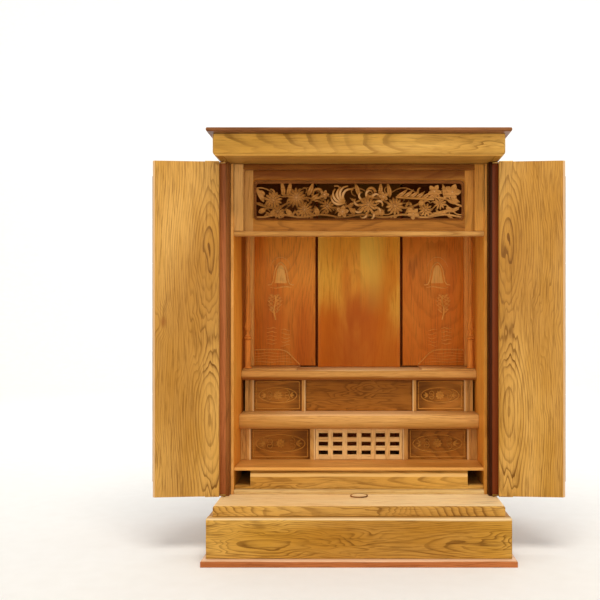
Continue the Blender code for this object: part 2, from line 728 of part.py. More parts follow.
def column_profile(bottom, top):
    """Radius and height of a turned column, from its foot to its top."""
    z = bottom
    profile = [(COLUMN_FOOT_RADIUS, z), (COLUMN_LOWER_RADIUS, z + COLUMN_FOOT_HEIGHT)]
    z += COLUMN_LOWER_HEIGHT
    profile.append((COLUMN_LOWER_RADIUS, z))
    profile.append((COLUMN_COLLAR_RADIUS, z + COLUMN_COLLAR_HEIGHT * COLUMN_SLOPE))
    profile.append((COLUMN_COLLAR_RADIUS, z + COLUMN_COLLAR_HEIGHT * (1 - COLUMN_SLOPE)))
    z += COLUMN_COLLAR_HEIGHT
    profile.append((COLUMN_NECK_RADIUS, z + COLUMN_NECK_HEIGHT * COLUMN_SLOPE))
    profile.append((COLUMN_NECK_RADIUS, z + COLUMN_NECK_HEIGHT * (1 - COLUMN_SLOPE)))
    z += COLUMN_NECK_HEIGHT
    for step in range(1, 6):
        share = step / 6
        swell = math.sin(math.pi * share)
        radius = COLUMN_SHAFT_RADIUS + (COLUMN_BULGE_RADIUS - COLUMN_SHAFT_RADIUS) * swell
        profile.append((radius, z + COLUMN_BULGE_HEIGHT * share))
    z += COLUMN_BULGE_HEIGHT
    profile.append((COLUMN_SHAFT_RADIUS, z))
    profile.append((COLUMN_SHAFT_RADIUS, top))
    return profile


def build_columns():
    """A turned column near each lining, standing on the shelf's raised land."""
    bottom, top = pad_top + FIT, body_top - FIT
    y = upper_shelf_front_y + COLUMN_SETBACK
    for side, sign in (("left", -1), ("right", 1)):
        loops = []
        for radius, z in column_profile(0, top - bottom):
            ring = []
            for step in range(COLUMN_SIDES):
                angle = 2 * math.pi * step / COLUMN_SIDES
                ring.append((radius * math.cos(angle), radius * math.sin(angle), z))
            loops.append(ring)
        bm = bmesh.new()
        add_loft(bm, loops)
        item = place(
            f"column_{side}", bm, light_wood,
            (sign * (inner_half - COLUMN_INSET), y, bottom),
        )
        item.data.shade_smooth()
        item.data.set_sharp_from_angle(angle=math.radians(40))


def build_back_panels():
    """Corner battens, two wing panels and the bordered centre panel."""
    low, high = pad_top + FIT, body_top - FIT
    centre_low = upper_shelf_top + FIT
    centre_half = CENTRE_PANEL_WIDTH / 2
    wing_in = centre_half + CENTRE_PANEL_GAP
    for side, sign in (("left", -1), ("right", 1)):
        board(
            f"corner_batten_{side}",
            sorted((sign * between_linings, sign * (between_linings - BATTEN_WIDTH))),
            (wing_front_y - FIT - BATTEN_DEPTH, wing_front_y - FIT), (low, high), light_wood,
            ("front_left", "front_right"), POST_ARRIS, 1,
        )
        board(
            f"wing_panel_{side}", sorted((sign * between_linings, sign * wing_in)),
            (wing_front_y, wing_back_y), (low, high), panel_wood,
        )
    y_back = wing_back_y - CENTRE_PANEL_FORWARD
    y_field = y_back - CENTRE_PANEL_THICKNESS + CENTRE_BORDER_HEIGHT
    y_border = y_back - CENTRE_PANEL_THICKNESS
    flat_half = centre_half - CENTRE_BORDER_WIDTH - CENTRE_BEVEL_WIDTH
    border_in = centre_half - CENTRE_BORDER_WIDTH
    plan = [
        (-centre_half, y_border), (-border_in, y_border), (-flat_half, y_field),
        (flat_half, y_field), (border_in, y_border), (centre_half, y_border),
        (centre_half, y_back), (-centre_half, y_back),
    ]
    bm = bmesh.new()
    add_loft(bm, [[(x, y, z) for x, y in plan] for z in (centre_low, high)])
    place("centre_panel", bm, panel_wood)


moulding_bottom = body_top - TRANSOM_HEIGHT
frame_bottom = moulding_bottom + MOULDING_HEIGHT + FIT
surround_top = body_top - FIT
frame_top = surround_top - SURROUND_TOP - FIT
surround_front_y = lining_front_y + SURROUND_SETBACK
frame_front_y = surround_front_y + SURROUND_THICKNESS + FIT
frame_half = between_linings - FIT
frame_open_half = between_linings - SURROUND_SIDE - FRAME_SIDE_RAIL
frame_open_low = frame_bottom + FRAME_BOTTOM_RAIL
frame_open_high = frame_top - FRAME_TOP_RAIL


def build_transom_frame():
    """Surround, moulding and the recessed frame with its round-cornered window."""
    side_in = between_linings - SURROUND_SIDE
    outline = [
        (-between_linings, frame_bottom), (-side_in, frame_bottom),
        (-side_in, surround_top - SURROUND_TOP), (side_in, surround_top - SURROUND_TOP),
        (side_in, frame_bottom), (between_linings, frame_bottom),
        (between_linings, surround_top), (-between_linings, surround_top),
    ]
    bm = bmesh.new()
    add_prism(bm, outline, surround_front_y, surround_front_y + SURROUND_THICKNESS)
    place("transom_surround", bm, light_wood)
    board(
        "transom_moulding", (-between_linings, between_linings),
        (lining_front_y + FIT, lining_front_y + FIT + MOULDING_DEPTH),
        (moulding_bottom, moulding_bottom + MOULDING_HEIGHT), light_wood,
        ("front_top", "front_bottom"), MOULDING_RADIUS, 3,
    )
    item = board(
        "transom_frame", (-frame_half, frame_half),
        (frame_front_y, frame_front_y + FRAME_THICKNESS),
        (frame_bottom, surround_top), light_wood,
    )
    bm = bmesh.new()
    y_chamfer = frame_front_y + FRAME_CHAMFER
    loops = []
    for y, grow in (
        (frame_front_y - FRAME_CHAMFER, 2 * FRAME_CHAMFER), (y_chamfer, 0.0),
        (frame_front_y + 2 * FRAME_THICKNESS, 0.0),
    ):
        loops.append(rounded_rectangle(
            frame_open_half + grow, frame_open_low - grow, frame_open_high + grow,
            FRAME_CORNER_RADIUS + grow, y,
        ))
    add_loft(bm, loops)
    combine(item, cutter("transom_window", bm), "DIFFERENCE")


carving_half = frame_open_half - CARVING_BORDER
carving_low = frame_open_low + CARVING_BORDER
carving_high = frame_open_high - CARVING_BORDER
carving_half_height = (carving_high - carving_low) / 2
carving_middle = (carving_high + carving_low) / 2


def at(share_x, share_z):
    """A place in the carving, as shares of its half width and half height."""
    return (CARVING_PROPORTION * share_x, share_z)


def fitted(outline):
    """Stretch an outline, drawn in half heights, to the carving's own width and height."""
    across = carving_half / CARVING_PROPORTION
    return [(x * across, carving_middle + z * carving_half_height) for x, z in outline]


def daisy(centre, radius, petals, waist=0.62, turn=0.0):
    """Outline of a flower with blunt petals round a heart."""
    points = []
    pitch = 2 * math.pi / petals
    for i in range(petals):
        for offset, reach in ((-0.5, waist), (-0.24, 1.0), (0.24, 1.0)):
            angle = turn + pitch * (i + offset)
            points.append((
                centre[0] + radius * reach * math.cos(angle),
                centre[1] + radius * reach * math.sin(angle),
            ))
    return points


def leaf(base, length, width, angle):
    """Outline of a pointed leaf from its stalk end."""
    direction = Vector((math.cos(angle), math.sin(angle)))
    across = Vector((-direction.y, direction.x))
    points = []
    for along, aside in ((0, 0.25), (0.35, 0.9), (0.7, 0.75), (1, 0), (0.7, -0.75),
                         (0.35, -0.9), (0, -0.25)):
        spot = Vector(base) + direction * length * along + across * width / 2 * aside
        points.append((spot.x, spot.y))
    return points


def strip(route, widths):
    """Outline of a strip of changing width along a route."""
    left, right = [], []
    for i, point in enumerate(route):
        before = Vector(route[max(i - 1, 0)])
        after = Vector(route[min(i + 1, len(route) - 1)])
        heading = (after - before).normalized()
        across = Vector((-heading.y, heading.x)) * widths[i] / 2
        left.append(tuple(Vector(point) + across))
        right.append(tuple(Vector(point) - across))
    return left + list(reversed(right))


def curl(centre, radius, start, sweep, width, steps=5, taper=0.55):
    """Outline of a curled petal: an arc that narrows towards its tip."""
    route = []
    widths = []
    for step in range(steps + 1):
        share = step / steps
        angle = start + sweep * share
        route.append((
            centre[0] + radius * math.cos(angle), centre[1] + radius * math.sin(angle),
        ))
        widths.append(width * (1 - taper * share))
    return strip(route, widths)


def wave(share_z, swing, turns, phase, steps=15):
    """Route of a stem that waves from one end of the carving to the other."""
    route = []
    for step in range(steps + 1):
        share = STEM_OVERRUN * (2 * step / steps - 1)
        route.append(at(share, share_z + swing * math.sin(math.pi * turns * share + phase)))
    return route


def comb(start, end, teeth, length, width, angle, shrink=0.35):
    """Outlines of a fern frond: a rib, and blades that all lean one way."""
    outlines = [strip([start, end], [width * 0.9, width * 0.7])]
    for i in range(teeth):
        share = i / teeth
        base = Vector(start).lerp(Vector(end), share)
        outlines.append(leaf(tuple(base), length * (1 - shrink * share), width, angle))
    return outlines


def carving_outlines():
    """Every motif of the openwork: chrysanthemums, five-petal flowers, ferns and stems."""
    outlines = []
    for share_z, swing, turns, phase in ((-0.1, 0.3, 3.1, 0.4), (-0.86, 0.08, 5.0, 1.0)):
        route = wave(share_z, swing, turns, phase)
        outlines.append(strip(route, [STEM_WIDTH] * len(route)))
    for x, z, radius, petals in (
        (-0.835, 0.06, 0.50, 10), (-0.61, 0.20, 0.56, 11), (-0.79, -0.62, 0.38, 8),
        (-0.53, -0.50, 0.48, 10), (-0.31, -0.30, 0.40, 8), (0.35, -0.29, 0.50, 10),
        (0.65, -0.52, 0.40, 8), (0.79, -0.12, 0.36, 8),
    ):
        outlines.append(daisy(at(x, z), radius, petals, turn=x))
    for x, z, radius in (
        (0.91, 0.50, 0.46), (0.735, 0.55, 0.38), (0.53, -0.73, 0.34), (-0.335, 0.36, 0.24),
        (-0.16, -0.62, 0.34), (0.24, 0.25, 0.26),
    ):
        outlines.append(daisy(at(x, z), radius, 5, 0.45, turn=math.pi / 2 + x))
    outlines += curly_chrysanthemum(at(0.09, -0.23), 0.50, 9)
    spray = at(-0.14, -0.05)
    for i, angle in enumerate((0.75, 1.15, 1.6, 2.0, 2.45)):
        half_reach = (0.95 + 0.08 * (i % 2)) / 2
        middle = (
            spray[0] + half_reach * math.cos(angle), spray[1] + half_reach * math.sin(angle),
        )
        outlines.append(curl(middle, half_reach, angle + math.pi, -2.7, 0.17))
    for x, z, outer in ((0.115, 0.50, 0.264), (-0.405, 0.42, 0.288)):
        for start in (0.0, math.pi):
            outlines.append(curl(at(x, z), outer, start, 3.6, 0.18))
    outlines += comb(at(0.36, 0.216), at(0.731, 0.096), 5, 0.86, 0.17, 0.62)
    outlines += comb(at(0.69, -0.845), at(0.97, -0.445), 4, 0.62, 0.16, 0.45)
    for x, z, length, width, angle in (
        (-0.93, -0.05, 1.00, 0.26, 2.1), (-0.98, -0.65, 0.55, 0.26, 0.5),
        (-0.735, 0.30, 0.90, 0.22, 1.75), (-0.70, 0.30, 0.90, 0.22, 1.35),
        (-0.50, 0.30, 0.85, 0.24, 1.2), (-0.47, 0.05, 0.62, 0.22, 0.7),
        (-0.24, 0.10, 0.85, 0.22, 1.1), (-0.40, -0.84, 0.60, 0.26, 1.9),
        (-0.66, -0.85, 0.55, 0.26, 2.3), (0.00, 0.30, 0.80, 0.22, 1.9),
        (0.20, 0.30, 0.80, 0.22, 1.5), (0.30, 0.20, 0.90, 0.22, 1.75),
        (0.46, -0.62, 0.50, 0.24, 0.6), (0.85, -0.35, 0.60, 0.22, -0.5),
        (0.84, 0.10, 0.95, 0.20, 1.75), (0.90, 0.15, 0.55, 0.24, -0.4),
        (0.60, -0.30, 0.45, 0.26, 1.5), (-0.04, -0.72, 0.5, 0.24, 2.4),
    ):
        outlines.append(leaf(at(x, z), length, width, angle))
    return [fitted(outline) for outline in outlines]


def curly_chrysanthemum(heart, radius, petals):
    """Outlines of a large flower whose outer petals curl back on themselves."""
    outlines = [daisy(heart, radius, petals + 1)]
    ring = radius + 0.12
    for i in range(petals):
        angle = 2 * math.pi * i / petals
        side = (heart[0] + ring * math.cos(angle), heart[1] + ring * math.sin(angle))
        outlines.append(curl(side, 0.24, angle + 2.6, -3.0, 0.15, 4))
    return outlines


def build_transom_carving():
    """One pierced panel: a thin border with every motif grown into it."""
    y_low = frame_front_y + FRAME_THICKNESS + FIT
    y_high = y_low + CARVING_THICKNESS
    half = frame_open_half + CARVING_LAP
    low, high = frame_open_low - CARVING_LAP, frame_open_high + CARVING_LAP
    item = board(
        "transom_carving", (-half, half), (y_low + CARVING_BORDER_SETBACK, y_high),
        (low, high), orange_wood,
    )
    bm = bmesh.new()
    window = rounded_rectangle(
        carving_half, carving_low, carving_high, CARVING_CORNER_RADIUS, 0, 2,
    )
    add_prism(bm, [(x, z) for x, y, z in window], y_low - CUT_OVERRUN, y_high + CUT_OVERRUN)
    combine(item, cutter("carving_window", bm), "DIFFERENCE")
    bm = bmesh.new()
    for i, outline in enumerate(carving_outlines()):
        step = MOTIF_STAGGER * (i % MOTIF_LEVELS)
        add_prism(bm, outline, y_low + MOTIF_SETBACK + step, y_high - MOTIF_RELIEF - step)
    combine(item, cutter("carving_motifs", bm), "UNION", use_self=True)


def empty_at(name, location, angle, parent=None):
    """A hinge axis: an empty that the leaves and fittings hang from."""
    item = bpy.data.objects.new(name, None)
    bpy.context.scene.collection.objects.link(item)
    item.parent = parent
    item.location = location
    item.rotation_euler = (0, 0, angle)
    return item


def build_doors():
    """Two leaves a side, modelled shut about their axes and turned to stand open."""
    height = door_top - door_bottom
    for side, sign in (("left", -1), ("right", 1)):
        hung = empty_at(
            f"{side}_door_axis", (pivot_x(sign), pivot_y, door_bottom),
            sign * math.radians(DOOR_OPEN_ANGLE),
        )
        edge = opening_half - DOOR_GAP_WALL - abs(pivot_x(sign))
        far = edge - leaf_width
        y_out = body_front_y - pivot_y
        y_in = y_out + DOOR_THICKNESS
        outer_word = "right" if sign < 0 else "left"
        inner_word = "left" if sign < 0 else "right"
        board(
            f"{side}_door_leaf", sorted((sign * far, sign * edge)), (y_out, y_in),
            (0, height), golden_wood, (f"back_{outer_word}",), DOOR_EDGE_RADIUS, 3, hung,
        )
        fold_x = far - DOOR_GAP_FOLD / 2
        fold_y = y_out - HINGE_BARREL_FORWARD
        fold = empty_at(
            f"{side}_fold_axis", (sign * fold_x, fold_y, 0), sign * math.radians(180), hung,
        )
        near = -DOOR_GAP_FOLD / 2
        tip = near - leaf_width
        y_out_fold = HINGE_BARREL_FORWARD
        board(
            f"{side}_folding_leaf", sorted((sign * tip, sign * near)),
            (y_out_fold, y_out_fold + DOOR_THICKNESS), (0, height), golden_wood,
            (f"back_{inner_word}",), DOOR_EDGE_RADIUS, 3, fold,
        )
        build_fold_hinge(side, sign, height, hung, fold, fold_x, fold_y)
        build_pivots(side, sign, height, hung, edge, y_out)


def build_fold_hinge(side, sign, height, hung, fold, fold_x, fold_y):
    """A long hinge on the outer faces: knuckles belong to each leaf by turns."""
    low, high = HINGE_MARGIN, height - HINGE_MARGIN
    pitch = (high - low) / HINGE_KNUCKLES
    plate_back = HINGE_BARREL_FORWARD - FIT
    plate_front = plate_back - HINGE_PLATE
    for name, parent, first, origin, direction in (
        (f"{side}_hinge_fixed", hung, 0, (sign * fold_x, fold_y), 1),
        (f"{side}_hinge_moving", fold, 1, (0, 0), -1),
    ):
        bm = bmesh.new()
        for i in range(first, HINGE_KNUCKLES, 2):
            add_rod(
                bm, origin, HINGE_BARREL_RADIUS, low + pitch * i + FIT,
                low + pitch * (i + 1) - FIT, HINGE_SIDES,
            )
        knuckles = cutter(f"{name}_knuckles", bm)
        knuckles.parent = parent
        away = sign * direction
        bm = bmesh.new()
        x_low = HINGE_BARREL_RADIUS + FIT
        x_ends = sorted((origin[0] + away * x_low, origin[0] + away * HINGE_PLATE_WIDTH))
        add_block(
            bm, (x_ends[0], origin[1] + plate_front, low),
            (x_ends[1], origin[1] + plate_back, high),
        )
        item = place(name, bm, brass, (0, 0, 0), parent)
        bm = bmesh.new()
        for i in range(first, HINGE_KNUCKLES, 2):
            tab_ends = sorted((origin[0], origin[0] + away * (x_low + HINGE_PLATE)))
            add_block(
                bm, (tab_ends[0], origin[1] + plate_front + SINK, low + pitch * i + 2 * FIT),
                (tab_ends[1], origin[1] + plate_back - SINK, low + pitch * (i + 1) - 2 * FIT),
            )
        tabs = cutter(f"{name}_tabs", bm)
        tabs.parent = parent
        combine(item, tabs, "UNION")
        combine(item, knuckles, "UNION")


def build_pivots(side, sign, height, hung, edge, y_out):
    """A cranked plate and a pin at the top and bottom of each hung leaf."""
    plate_deep = DOOR_THICKNESS * PIVOT_PLATE_COVER
    arm = PIVOT_ARM_HALF_WIDTH
    plan = [
        (arm, -arm), (arm, arm), (edge, arm), (edge, y_out + plate_deep),
        (edge - PIVOT_PLATE_LENGTH, y_out + plate_deep), (edge - PIVOT_PLATE_LENGTH, -arm),
    ]
    for end, low, pin_low, pin_high in (
        ("top", height + FIT, height + FIT + SINK, height + DOOR_GAP_TOP + PIVOT_PIN_REACH),
        ("bottom", -FIT - PIVOT_PLATE, -DOOR_GAP_BOTTOM - PIVOT_PIN_REACH, -FIT - SINK),
    ):
        bm = bmesh.new()
        add_loft(bm, [[(sign * x, y, z) for x, y in plan] for z in (low, low + PIVOT_PLATE)])
        item = place(f"{side}_pivot_{end}", bm, brass, (0, 0, 0), hung)
        bm = bmesh.new()
        add_rod(bm, (0, 0), PIVOT_PIN_RADIUS, pin_low, pin_high)
        pin = cutter(f"{side}_pin_{end}", bm)
        pin.parent = hung
        combine(item, pin, "UNION")


build_base()
build_carcass()
build_cornice()
build_lining()
build_pull_out_board()
build_shelves()
build_lower_tier()
build_upper_tier()
build_columns()
build_back_panels()
build_transom_frame()
build_transom_carving()
build_doors()
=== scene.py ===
# %% [markdown]
# A small household altar cabinet in golden cedar stands open on a pale studio floor.
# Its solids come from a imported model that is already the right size, so this lesson only
# dresses them: it softens edges, turns the columns, carves the openwork and gives every
# board its own cut of wood.

import json
import math

import bmesh
import bpy
from mathutils import Matrix, Vector


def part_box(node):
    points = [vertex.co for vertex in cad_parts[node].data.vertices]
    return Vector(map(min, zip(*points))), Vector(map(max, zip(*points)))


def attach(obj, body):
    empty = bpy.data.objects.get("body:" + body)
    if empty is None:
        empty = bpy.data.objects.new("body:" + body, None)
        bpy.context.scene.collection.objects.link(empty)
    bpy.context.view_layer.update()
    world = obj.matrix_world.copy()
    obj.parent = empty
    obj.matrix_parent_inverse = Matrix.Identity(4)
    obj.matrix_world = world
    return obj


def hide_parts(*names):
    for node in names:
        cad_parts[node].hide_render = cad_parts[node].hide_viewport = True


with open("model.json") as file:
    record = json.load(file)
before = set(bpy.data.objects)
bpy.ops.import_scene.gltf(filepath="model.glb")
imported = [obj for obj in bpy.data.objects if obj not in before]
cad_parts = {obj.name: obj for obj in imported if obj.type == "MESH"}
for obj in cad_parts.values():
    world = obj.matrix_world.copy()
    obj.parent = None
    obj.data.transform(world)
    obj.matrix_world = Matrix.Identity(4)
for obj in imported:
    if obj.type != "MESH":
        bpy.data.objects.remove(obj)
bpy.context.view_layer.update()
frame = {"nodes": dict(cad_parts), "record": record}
BODY_OF = {
    node: body
    for body, members in frame["record"]["behaviour"]["bodies"].items()
    for node in members
}

# %% [markdown]
# Sizes below are millimetres where a maker would say millimetres, so one factor turns
# them into Blender's metres. Colours are written as the hex values that a painter picks
# on a screen. Blender mixes light in linear values, so one function converts them.

# %% Units and colours
MM = 0.001


def paint(hex_colour):
    """Turn an sRGB hex colour into linear red, green, blue and alpha."""
    channels = [int(hex_colour[i:i + 2], 16) / 255 for i in (0, 2, 4)]
    linear = [c / 12.92 if c <= 0.04045 else ((c + 0.055) / 1.055) ** 2.4 for c in channels]
    return (*linear, 1.0)


def add(tree, kind, settings, inputs):
    """Add one node; settings are its properties, inputs are values or links for sockets."""
    node = tree.nodes.new(kind)
    for key, value in settings.items():
        setattr(node, key, value)
    for socket, value in inputs.items():
        if isinstance(value, bpy.types.NodeSocket):
            tree.links.new(value, node.inputs[socket])
        else:
            node.inputs[socket].default_value = value
    return node


print("middle grey", [round(channel, 3) for channel in paint("808080")])

# %% [markdown]
# The camera looks level and square at the front, a little over a metre away. The object
# stands right of the middle of the picture, which a shifted lens gives without turning
# the camera, so upright edges stay upright.

# %% Camera
PICTURE = 600                   # pixels on each side
EYE_DISTANCE = 1.360            # in front of the origin
EYE_HEIGHT = 0.335
FOCAL_PIXELS = 880
VANISHING_X = 359               # pixel that the lens axis meets
VANISHING_Y = 320
SENSOR = 36.0

camera_data = bpy.data.cameras.new("camera")
camera_data.sensor_width = SENSOR
camera_data.lens = FOCAL_PIXELS * SENSOR / PICTURE
camera_data.shift_x = (PICTURE / 2 - VANISHING_X) / PICTURE
camera_data.shift_y = (VANISHING_Y - PICTURE / 2) / PICTURE
camera = bpy.data.objects.new("camera", camera_data)
camera.location = (0, -EYE_DISTANCE, EYE_HEIGHT)
camera.rotation_euler = (math.radians(90), 0, 0)
bpy.context.scene.collection.objects.link(camera)
bpy.context.scene.camera = camera
print("lens", round(camera_data.lens, 2), "shift", round(camera_data.shift_x, 4))

# %% [markdown]
# A photographer would stand the cabinet on a roll of white paper that curves up behind
# it. Here the paper is a wide bowl, turned round the upright axis, so that every view
# around the cabinet meets the same seamless sweep. Rings of points along a profile make
# it: flat under the cabinet, then a quarter circle, then upright.

# %% Paper sweep
SWEEP_FLAT = 3.0                # radius of the flat middle
SWEEP_CURVE = 1.4               # radius of the bend
SWEEP_TOP = 4.5
SWEEP_STEPS = 96

profile = [(0.02, 0.0), (0.6, 0.0), (SWEEP_FLAT, 0.0)]
for step in range(1, 13):
    angle = math.radians(90 * step / 12)
    profile.append((
        SWEEP_FLAT + SWEEP_CURVE * math.sin(angle), SWEEP_CURVE * (1 - math.cos(angle)),
    ))
profile.append((SWEEP_FLAT + SWEEP_CURVE, SWEEP_TOP))
bm = bmesh.new()
rings = []
for radius, z in profile:
    rings.append([
        bm.verts.new((
            radius * math.cos(2 * math.pi * i / SWEEP_STEPS),
            radius * math.sin(2 * math.pi * i / SWEEP_STEPS), z,
        ))
        for i in range(SWEEP_STEPS)
    ])
bm.faces.new(rings[0])
for low, high in zip(rings, rings[1:]):
    for i in range(SWEEP_STEPS):
        j = (i + 1) % SWEEP_STEPS
        bm.faces.new((low[i], high[i], high[j], low[j]))
mesh = bpy.data.meshes.new("paper_sweep")
bm.to_mesh(mesh)
bm.free()
mesh.shade_smooth()
paper_sweep = bpy.data.objects.new("paper_sweep", mesh)
bpy.context.scene.collection.objects.link(paper_sweep)
print("sweep points", len(mesh.vertices))

# %% [markdown]
# The paper is matt and a little warm. Its fibres are finer than a millimetre and wouldn't
# show, so a soft mottle of 3 mm stands for them, which keeps the floor from looking like
# plastic.

# %% White background paper
paper = bpy.data.materials.new("white_background_paper")
paper.use_nodes = True
tree = paper.node_tree
shader = tree.nodes["Principled BSDF"]
shader.inputs["Roughness"].default_value = 0.9
PAPER_FIBRE = 3 * MM
fibre = add(tree, "ShaderNodeTexNoise", {}, {"Scale": 1 / PAPER_FIBRE, "Detail": 2.0})
tone = add(tree, "ShaderNodeMix", {"data_type": "RGBA"}, {
    0: fibre.outputs["Fac"], 6: paint("F3F2EF"), 7: paint("F8F8F6"),
})
tree.links.new(tone.outputs[2], shader.inputs["Base Color"])
mesh.materials.append(paper)
print("paper mottle", round(PAPER_FIBRE / MM), "mm")

# %% [markdown]
# The light is soft and comes from above the camera. It fills the open chamber, and leaves
# a shadow under each shelf and under the cornice. A wide, weaker panel lower down keeps
# those shadows brown and not black, and the sky stands for the white room. A third panel
# lights only the paper behind. The plain view transform keeps the wood's colours as picked.

# %% Lights
def soft_panel(name, place, target, width, height, watts, colour):
    """Hang one rectangular soft light that faces a target."""
    data = bpy.data.lights.new(name, "AREA")
    data.shape = "RECTANGLE"
    data.size = width
    data.size_y = height
    data.energy = watts
    data.color = paint(colour)[:3]
    lamp = bpy.data.objects.new(name, data)
    lamp.location = place
    lamp.rotation_euler = (Vector(target) - Vector(place)).to_track_quat("-Z", "Y").to_euler()
    bpy.context.scene.collection.objects.link(lamp)


soft_panel("key_panel", (0.10, -1.25, 2.10), (0, 0, 0.20), 1.2, 0.8, 28, "FFF8EE")
soft_panel("fill_panel", (0.0, -3.4, 0.75), (0, 0, 0.30), 2.0, 1.0, 20, "FFFCF8")
soft_panel("background_panel", (0.0, 0.9, 2.6), (0, 4.4, 0.6), 3.0, 0.8, 62, "FFFFFF")

world = bpy.data.worlds.new("white_room")
world.use_nodes = True
world.node_tree.nodes["Background"].inputs["Color"].default_value = paint("FFFFFF")
world.node_tree.nodes["Background"].inputs["Strength"].default_value = 0.55
bpy.context.scene.world = world
bpy.context.scene.view_settings.view_transform = "Standard"

# %% [markdown]
# Old cedar shows its growth rings as soft bands that end in a thin dark line. A real
# board is a flat cut through a tree, so the rings are drawn as distances from the heart
# of a log, and the board only samples them. Where the cut nears the heart, the rings
# open into arches and long ovals; where a knot pushes them aside, they swirl round it.
# One node group holds the log, and every board cuts it at its own place. An image of
# wood would be quicker, but it would repeat, and it couldn't turn a corner with the board.

# %% The log's inputs and outputs
def open_log():
    """Start the group that gives ring lines, fibres, tint and knots for a point in a log."""
    tree = bpy.data.node_groups.new("cedar_log", "ShaderNodeTree")
    sockets = tree.interface
    for name, kind in (
        ("Point", "NodeSocketVector"), ("Ring Width", "NodeSocketFloat"),
        ("Wave Height", "NodeSocketFloat"), ("Wave Length", "NodeSocketFloat"),
        ("Lean", "NodeSocketFloat"), ("Knots", "NodeSocketFloat"),
        ("Wander", "NodeSocketFloat"), ("Heart Reach", "NodeSocketFloat"),
        ("Branch", "NodeSocketVector"), ("Branch Push", "NodeSocketFloat"),
        ("Knot Shade", "NodeSocketFloat"),
    ):
        sockets.new_socket(name, in_out="INPUT", socket_type=kind)
    for name in ("Line", "Fibre", "Tint", "Patch", "Knot"):
        sockets.new_socket(name, in_out="OUTPUT", socket_type="NodeSocketFloat")
    return tree, tree.nodes.new("NodeGroupInput").outputs


def stretched_noise(tree, point, stretch, **settings):
    """Sample soft noise with a different scale along each axis, in waves per metre."""
    scaled = add(tree, "ShaderNodeVectorMath", {"operation": "MULTIPLY"}, {0: point, 1: stretch})
    return add(tree, "ShaderNodeTexNoise", {}, {
        "Vector": scaled.outputs[0], "Scale": 1.0,
        **{name.capitalize(): value for name, value in settings.items()},
    })


def centred_colour(tree, noise):
    """Shift a noise's colour so that it pushes a point both ways along each axis."""
    return add(tree, "ShaderNodeVectorMath", {"operation": "SUBTRACT"}, {
        0: noise.outputs["Color"], 1: (0.5, 0.5, 0.5),
    })


cedar_log, given = open_log()
print("log group takes", [socket.name for socket in given if socket.name])

# %% [markdown]
# No trunk is a true cylinder. It bends over a hand's width, and its surface is uneven over
# a finger's width. Two noises push the sampled point aside, the slow one by a distance
# that each board chooses, and the quick one by 2 mm.

# %% The trunk bends
SLOW_BEND = (9.0, 9.0, 3.2)     # waves per metre across the trunk, across it, and along it
QUICK_BEND = (60.0, 60.0, 10.0)
QUICK_REACH = 2.0 * MM

slow = stretched_noise(cedar_log, given["Point"], SLOW_BEND, detail=1.0)
slow_shift = centred_colour(cedar_log, slow)
slow_warp = add(cedar_log, "ShaderNodeVectorMath", {"operation": "SCALE"}, {
    0: slow_shift.outputs[0], "Scale": given["Wander"],
})
quick = stretched_noise(cedar_log, given["Point"], QUICK_BEND, detail=2.0)
quick_shift = centred_colour(cedar_log, quick)
quick_warp = add(cedar_log, "ShaderNodeVectorMath", {"operation": "SCALE"}, {
    0: quick_shift.outputs[0], "Scale": QUICK_REACH,
})
bent = add(cedar_log, "ShaderNodeVectorMath", {"operation": "ADD"}, {
    0: given["Point"], 1: slow_warp.outputs[0],
})
bent = add(cedar_log, "ShaderNodeVectorMath", {"operation": "ADD"}, {
    0: bent.outputs[0], 1: quick_warp.outputs[0],
})
bent_split = add(cedar_log, "ShaderNodeSeparateXYZ", {}, {0: bent.outputs[0]})
print("bend waves", SLOW_BEND, "and", QUICK_BEND, "per metre")

# %% [markdown]
# The heart comes nearer the board and goes away again along the trunk. A cosine gives
# that, and the ring count follows from the distance to the heart. Each wave that comes
# close enough to the cut leaves one long oval on the board.

# %% Distance from the heart
turns = add(cedar_log, "ShaderNodeMath", {"operation": "DIVIDE"}, {
    0: bent_split.outputs["Z"], 1: given["Wave Length"],
})
turn_angle = add(cedar_log, "ShaderNodeMath", {"operation": "MULTIPLY"}, {
    0: turns.outputs[0], 1: 2 * math.pi,
})
swing = add(cedar_log, "ShaderNodeMath", {"operation": "COSINE"}, {0: turn_angle.outputs[0]})
swing_depth = add(cedar_log, "ShaderNodeMath", {"operation": "MULTIPLY_ADD"}, {
    0: swing.outputs[0], 1: given["Wave Height"], 2: bent_split.outputs["Y"],
})
leaning = add(cedar_log, "ShaderNodeMath", {"operation": "MULTIPLY_ADD"}, {
    0: bent_split.outputs["Z"], 1: given["Lean"], 2: swing_depth.outputs[0],
})
from_heart = add(cedar_log, "ShaderNodeCombineXYZ", {}, {
    "X": bent_split.outputs["X"], "Y": leaning.outputs[0],
})
radius = add(cedar_log, "ShaderNodeVectorMath", {"operation": "LENGTH"}, {
    0: from_heart.outputs[0],
})
print("nodes so far", len(cedar_log.nodes))

# %% [markdown]
# A knot is the foot of a branch, and the rings heap up round it. Small knots lie scattered
# at the cells of a Voronoi pattern, and one larger branch can be set at a chosen place.

